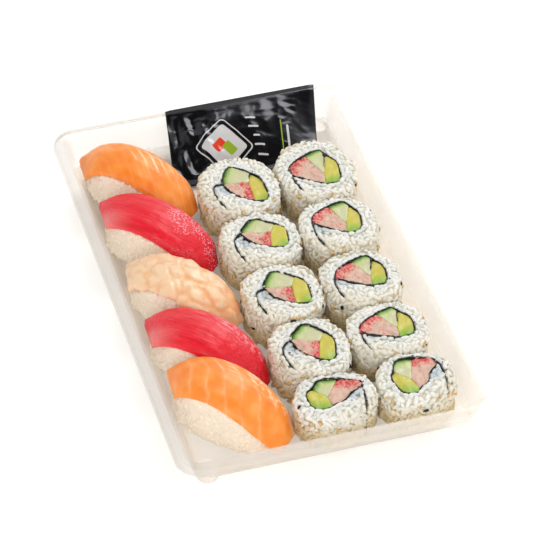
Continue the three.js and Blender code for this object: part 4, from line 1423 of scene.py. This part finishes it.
def sachet_grid(settings):
    """Both faces of the sachet as one closed net, with creases, and its print's flat coordinates."""
    upper, lower, flat = sachet_sides()
    across = flat[:, 0]
    fullness = ease(upper[:, 2] - lower[:, 2], 0.9, 5.0)
    height = film_creases(flat, settings.crease / MM) * (0.25 + 0.75 * fullness)
    height *= 1 - 0.7 * ease(across, *FLATTER)
    edge = np.minimum(-flat[:, 1], flat[:, 1] - flat[:, 1].min())
    seal = 1 - ease(edge, *(SEAL_WIDTH + fade for fade in SEAL_FADE))
    crimp = CRIMP_HEIGHT * np.sin(edge * 2 * math.pi / CRIMP_STEP) * seal
    waves = WAVE_HEIGHT * lumps(flat * np.array([1, 0.35, 1]), WAVE_WIDTH, 9)
    waves *= 0.08 + 0.92 * (1 - ease(across, *SLACK_END))
    waves *= 1 - seal
    upper[:, 2] += height * (1 - seal) + crimp + waves
    lower[:, 2] += crimp + waves * (1 - fullness) - 0.3 * height * (1 - seal) * fullness
    count = len(upper)
    faces = []
    for row in range(SACHET_ROWS - 1):
        for column in range(SACHET_COLUMNS - 1):
            a = row * SACHET_COLUMNS + column
            quad = (a, a + SACHET_COLUMNS, a + SACHET_COLUMNS + 1, a + 1)
            faces.append(quad)
            faces.append(tuple(i + count for i in quad[::-1]))
    border = [*range(SACHET_COLUMNS), *range(2 * SACHET_COLUMNS - 1, count, SACHET_COLUMNS),
              *range(count - 2, count - SACHET_COLUMNS - 1, -1),
              *range(count - 2 * SACHET_COLUMNS, 0, -SACHET_COLUMNS)]
    for here, onward in zip(border, border[1:] + border[:1]):
        faces.append((here, onward, onward + count, here + count))
    return np.vstack([upper, lower]), faces, np.vstack([flat, flat + np.array(BACK_PRINT)])


# ---------------------------------------------------------------- stage

# Half the side of the table, in millimetres.
TABLE_HALF = 3000
# Lamps: name, place in metres, width in metres, power in watts and colour.
LAMPS = (
    ("key_softbox", (0.7, 0.65, 1.1), 0.8, 9.7, "#FFFDFA"),
    ("fill_softbox", (-0.4, -1.1, 0.8), 1.0, 6.2, "#FFFFFF"),
)
# Light of the room: white all round, with a dark patch straight overhead. Each is the sine of the
# height that it is seen at, and its strength. It holds a little less blue than red and green.
ROOM_LIGHT = ((0.0, 0.85), (0.4, 0.8), (0.82, 0.8), (0.92, 0.06), (1.0, 0.06))
ROOM_BLUE = 0.985
SENSOR_WIDTH, CLIP_END = 36, 20


def add_table(scene, settings):
    """The pale table."""
    half = TABLE_HALF
    corners = [(-half, -half, 0), (half, -half, 0), (half, half, 0), (-half, half, 0)]
    mesh = to_mesh("opal_floor", corners, [(0, 1, 2, 3)])
    mesh.materials.append(light_table(settings))
    table = bpy.data.objects.new("opal_floor", mesh)
    scene.collection.objects.link(table)


def add_lights(scene):
    """Two soft lamps that point at the tray, and the light of the room."""
    for name, place, size, power, code in LAMPS:
        lamp = bpy.data.lights.new(name, "AREA")
        lamp.shape, lamp.size, lamp.energy, lamp.color = "DISK", size, power, linear(code)
        holder = bpy.data.objects.new(name, lamp)
        holder.location = place
        holder.rotation_euler = (-Vector(place)).to_track_quat("-Z", "Y").to_euler()
        scene.collection.objects.link(holder)
    scene.world = bpy.data.worlds.new("soft_room")
    scene.world.use_nodes = True
    tree = scene.world.node_tree
    place = add_node(tree, "TexCoord")
    axes = add_node(tree, "SeparateXYZ", {0: place.outputs["Generated"]})
    light = add_node(tree, "ValToRGB", {"Fac": axes.outputs["Z"]},
                     stops=[(height, (level, level, level * ROOM_BLUE)) for height, level in ROOM_LIGHT])
    set_sockets(tree, tree.nodes["Background"], {"Color": light})


def add_camera(scene, settings):
    """The scene's camera, at its distance from the point that it looks at."""
    azimuth, elevation = settings.azimuth, settings.elevation
    level = math.cos(elevation)
    forward = Vector((math.sin(azimuth) * level, math.cos(azimuth) * level, -math.sin(elevation)))
    right = forward.cross(Vector(UP)).normalized()
    turn = Matrix((right, right.cross(forward), -forward)).transposed().to_4x4()
    camera = bpy.data.objects.new("camera", bpy.data.cameras.new("camera"))
    camera.matrix_world = Matrix.Translation(Vector(settings.aim) - forward * settings.distance) @ turn
    camera.data.lens = settings.lens
    camera.data.sensor_width = SENSOR_WIDTH
    camera.data.clip_end = CLIP_END
    scene.collection.objects.link(camera)
    scene.camera = camera


# ---------------------------------------------------------------- operators


class SUSHI_OT_stage(bpy.types.Operator):
    """Makes the table, the lights and the camera"""
    bl_idname = "sushi.stage"
    bl_label = "Stage"

    def execute(self, context):
        scene = context.scene
        add_table(scene, scene.sushi.stage)
        add_lights(scene)
        add_camera(scene, scene.sushi.stage)
        scene.view_settings.view_transform = "Standard"
        return {"FINISHED"}


class SUSHI_OT_tray(bpy.types.Operator):
    """Makes the clear formed tray"""
    bl_idname = "sushi.tray"
    bl_label = "Tray"

    def execute(self, context):
        settings = context.scene.sushi.tray
        points, faces, values = formed_tray(settings)
        material = formed_pp_sheet(settings)
        face_outwards(add_piece("clear_tray", points, faces, material, ["tray"], values))
        return {"FINISHED"}


class SUSHI_OT_roll_rice(bpy.types.Operator):
    """Makes the rice of the rolls, grain by grain"""
    bl_idname = "sushi.roll_rice"
    bl_label = "Roll rice"

    def execute(self, context):
        settings = context.scene.sushi.rice
        material = steamed_rice(settings)
        for number, roll in enumerate(ROLLS):
            points, faces, values = roll_rice(roll, settings, np.random.default_rng(ROLL_SEED + number))
            add_piece(roll + "_grains", points, faces, material, [roll + "_rice"], values)
        return {"FINISHED"}


class SUSHI_OT_nigiri_rice(bpy.types.Operator):
    """Makes the rice fingers under the toppings"""
    bl_idname = "sushi.nigiri_rice"
    bl_label = "Nigiri rice"

    def execute(self, context):
        settings = context.scene.sushi.rice
        material = steamed_rice(settings)
        for number, nigiri in enumerate(NIGIRI):
            random = np.random.default_rng(NIGIRI_SEED + number)
            points, faces, values = rice_mass(nigiri + "_rice", settings, random, **NIGIRI_RICE)
            # A pressed nigiri gets little painted crease shade, and its warm tint all over.
            values["crease"] *= PRESSED_CREASE
            values["pressed"] = np.ones(len(points))
            add_piece(nigiri + "_grains", points, faces, material, [nigiri + "_rice"], values)
        return {"FINISHED"}


class SUSHI_OT_seaweed(bpy.types.Operator):
    """Makes the seaweed sheets in the rolls"""
    bl_idname = "sushi.seaweed"
    bl_label = "Seaweed"

    def execute(self, context):
        material = toasted_nori()
        for number, roll in enumerate(ROLLS):
            random = np.random.default_rng(SEAWEED_SEED + number)
            points, faces = roll_seaweed(roll, context.scene.sushi.filling, random)
            add_piece(roll + "_seaweed", points, faces, material)
        return {"FINISHED"}


class SUSHI_OT_fillings(bpy.types.Operator):
    """Makes the crab stick, cucumber and avocado in the rolls"""
    bl_idname = "sushi.fillings"
    bl_label = "Fillings"

    def execute(self, context):
        settings = context.scene.sushi.filling
        materials = {
            "crab": shredded_crab_stick(settings),
            "cucumber": fresh_cucumber(settings),
            "avocado": ripe_avocado(settings),
        }
        for number, roll in enumerate(ROLLS):
            for kind in FILLINGS:
                node = f"{roll}_{kind}"
                points, faces, values = cut_filling(roll, kind, number + 1)
                add_piece(node + "_cut", points, faces, materials[kind], [node], values)
        return {"FINISHED"}


class SUSHI_OT_toppings(bpy.types.Operator):
    """Makes the salmon, tuna and prawn slices"""
    bl_idname = "sushi.toppings"
    bl_label = "Toppings"

    def execute(self, context):
        settings = context.scene.sushi.topping
        materials = {
            "salmon": sliced_salmon(settings),
            "tuna": sliced_tuna(settings),
            "shrimp": cooked_prawn(settings),
        }
        for number, nigiri in enumerate(NIGIRI):
            kind = nigiri.split("_")[1]
            points, quads, values = sliced_topping(nigiri, number, settings.yaw)
            add_piece(nigiri + "_slice", points, quads, materials[kind], [nigiri + "_topping"], values)
        return {"FINISHED"}


class SUSHI_OT_sesame(bpy.types.Operator):
    """Sprinkles sesame seeds on the sides of the rolls"""
    bl_idname = "sushi.sesame"
    bl_label = "Sesame"

    def execute(self, context):
        settings = context.scene.sushi.seed
        kinds = (
            ("pale_sesame", settings.pale_per_roll, "#E9C98E", "#C08E4C"),
            ("black_sesame", settings.dark_per_roll, "#241B16", "#0D0A09"),
        )
        thickness = settings.seed_width * SEED_FLATNESS
        size = np.array([settings.seed_length, settings.seed_width, thickness]) / MM
        for kind, per_roll, code, dark in kinds:
            seeds = [sprinkled(roll, number, per_roll, size) for number, roll in enumerate(ROLLS)]
            points, faces = joined(seeds)
            add_piece(kind, against_walls(points), faces, sesame(kind, code, dark))
        return {"FINISHED"}


class SUSHI_OT_sachet(bpy.types.Operator):
    """Makes the sauce sachet"""
    bl_idname = "sushi.sachet"
    bl_label = "Sachet"

    def execute(self, context):
        settings = context.scene.sushi.sachet
        points, faces, flat = sachet_grid(settings)
        add_piece("sauce_sachet", points, faces, black_laminate_film(settings), ["sachet"],
                  {"print": flat})
        return {"FINISHED"}


class SUSHI_PT_panel(bpy.types.Panel):
    """Lists the pieces of the sushi tray"""
    bl_idname = "SUSHI_PT_panel"
    bl_label = "Takeaway Sushi Tray"
    bl_space_type = "VIEW_3D"
    bl_region_type = "UI"
    bl_category = "Sushi"

    def draw(self, context):
        for operator, group in BUTTONS:
            box = self.layout.box()
            box.operator(operator.bl_idname)
            settings = getattr(context.scene.sushi, group)
            for key in settings.__annotations__:
                box.prop(settings, key)


# Every operator, in the order that the pieces are made in, and the group of settings that it reads.
BUTTONS = (
    (SUSHI_OT_stage, "stage"),
    (SUSHI_OT_tray, "tray"),
    (SUSHI_OT_roll_rice, "rice"),
    (SUSHI_OT_nigiri_rice, "rice"),
    (SUSHI_OT_seaweed, "filling"),
    (SUSHI_OT_fillings, "filling"),
    (SUSHI_OT_toppings, "topping"),
    (SUSHI_OT_sesame, "seed"),
    (SUSHI_OT_sachet, "sachet"),
)
CLASSES = (
    TraySettings, RiceSettings, FillingSettings, ToppingSettings, SachetSettings, SeedSettings, StageSettings,
    SushiSettings, *(operator for operator, _ in BUTTONS), SUSHI_PT_panel,
)


def register():
    """Makes the settings, the operators and the panel known to Blender."""
    for cls in CLASSES:
        bpy.utils.register_class(cls)
    bpy.types.Scene.sushi = bpy.props.PointerProperty(type=SushiSettings)


def unregister():
    """Takes them away again."""
    del bpy.types.Scene.sushi
    for cls in reversed(CLASSES):
        bpy.utils.unregister_class(cls)


def main():
    """Makes every piece in turn."""
    register()
    for operator, _ in BUTTONS:
        getattr(bpy.ops.sushi, operator.bl_idname.removeprefix("sushi."))()


if __name__ == "__main__":
    main()
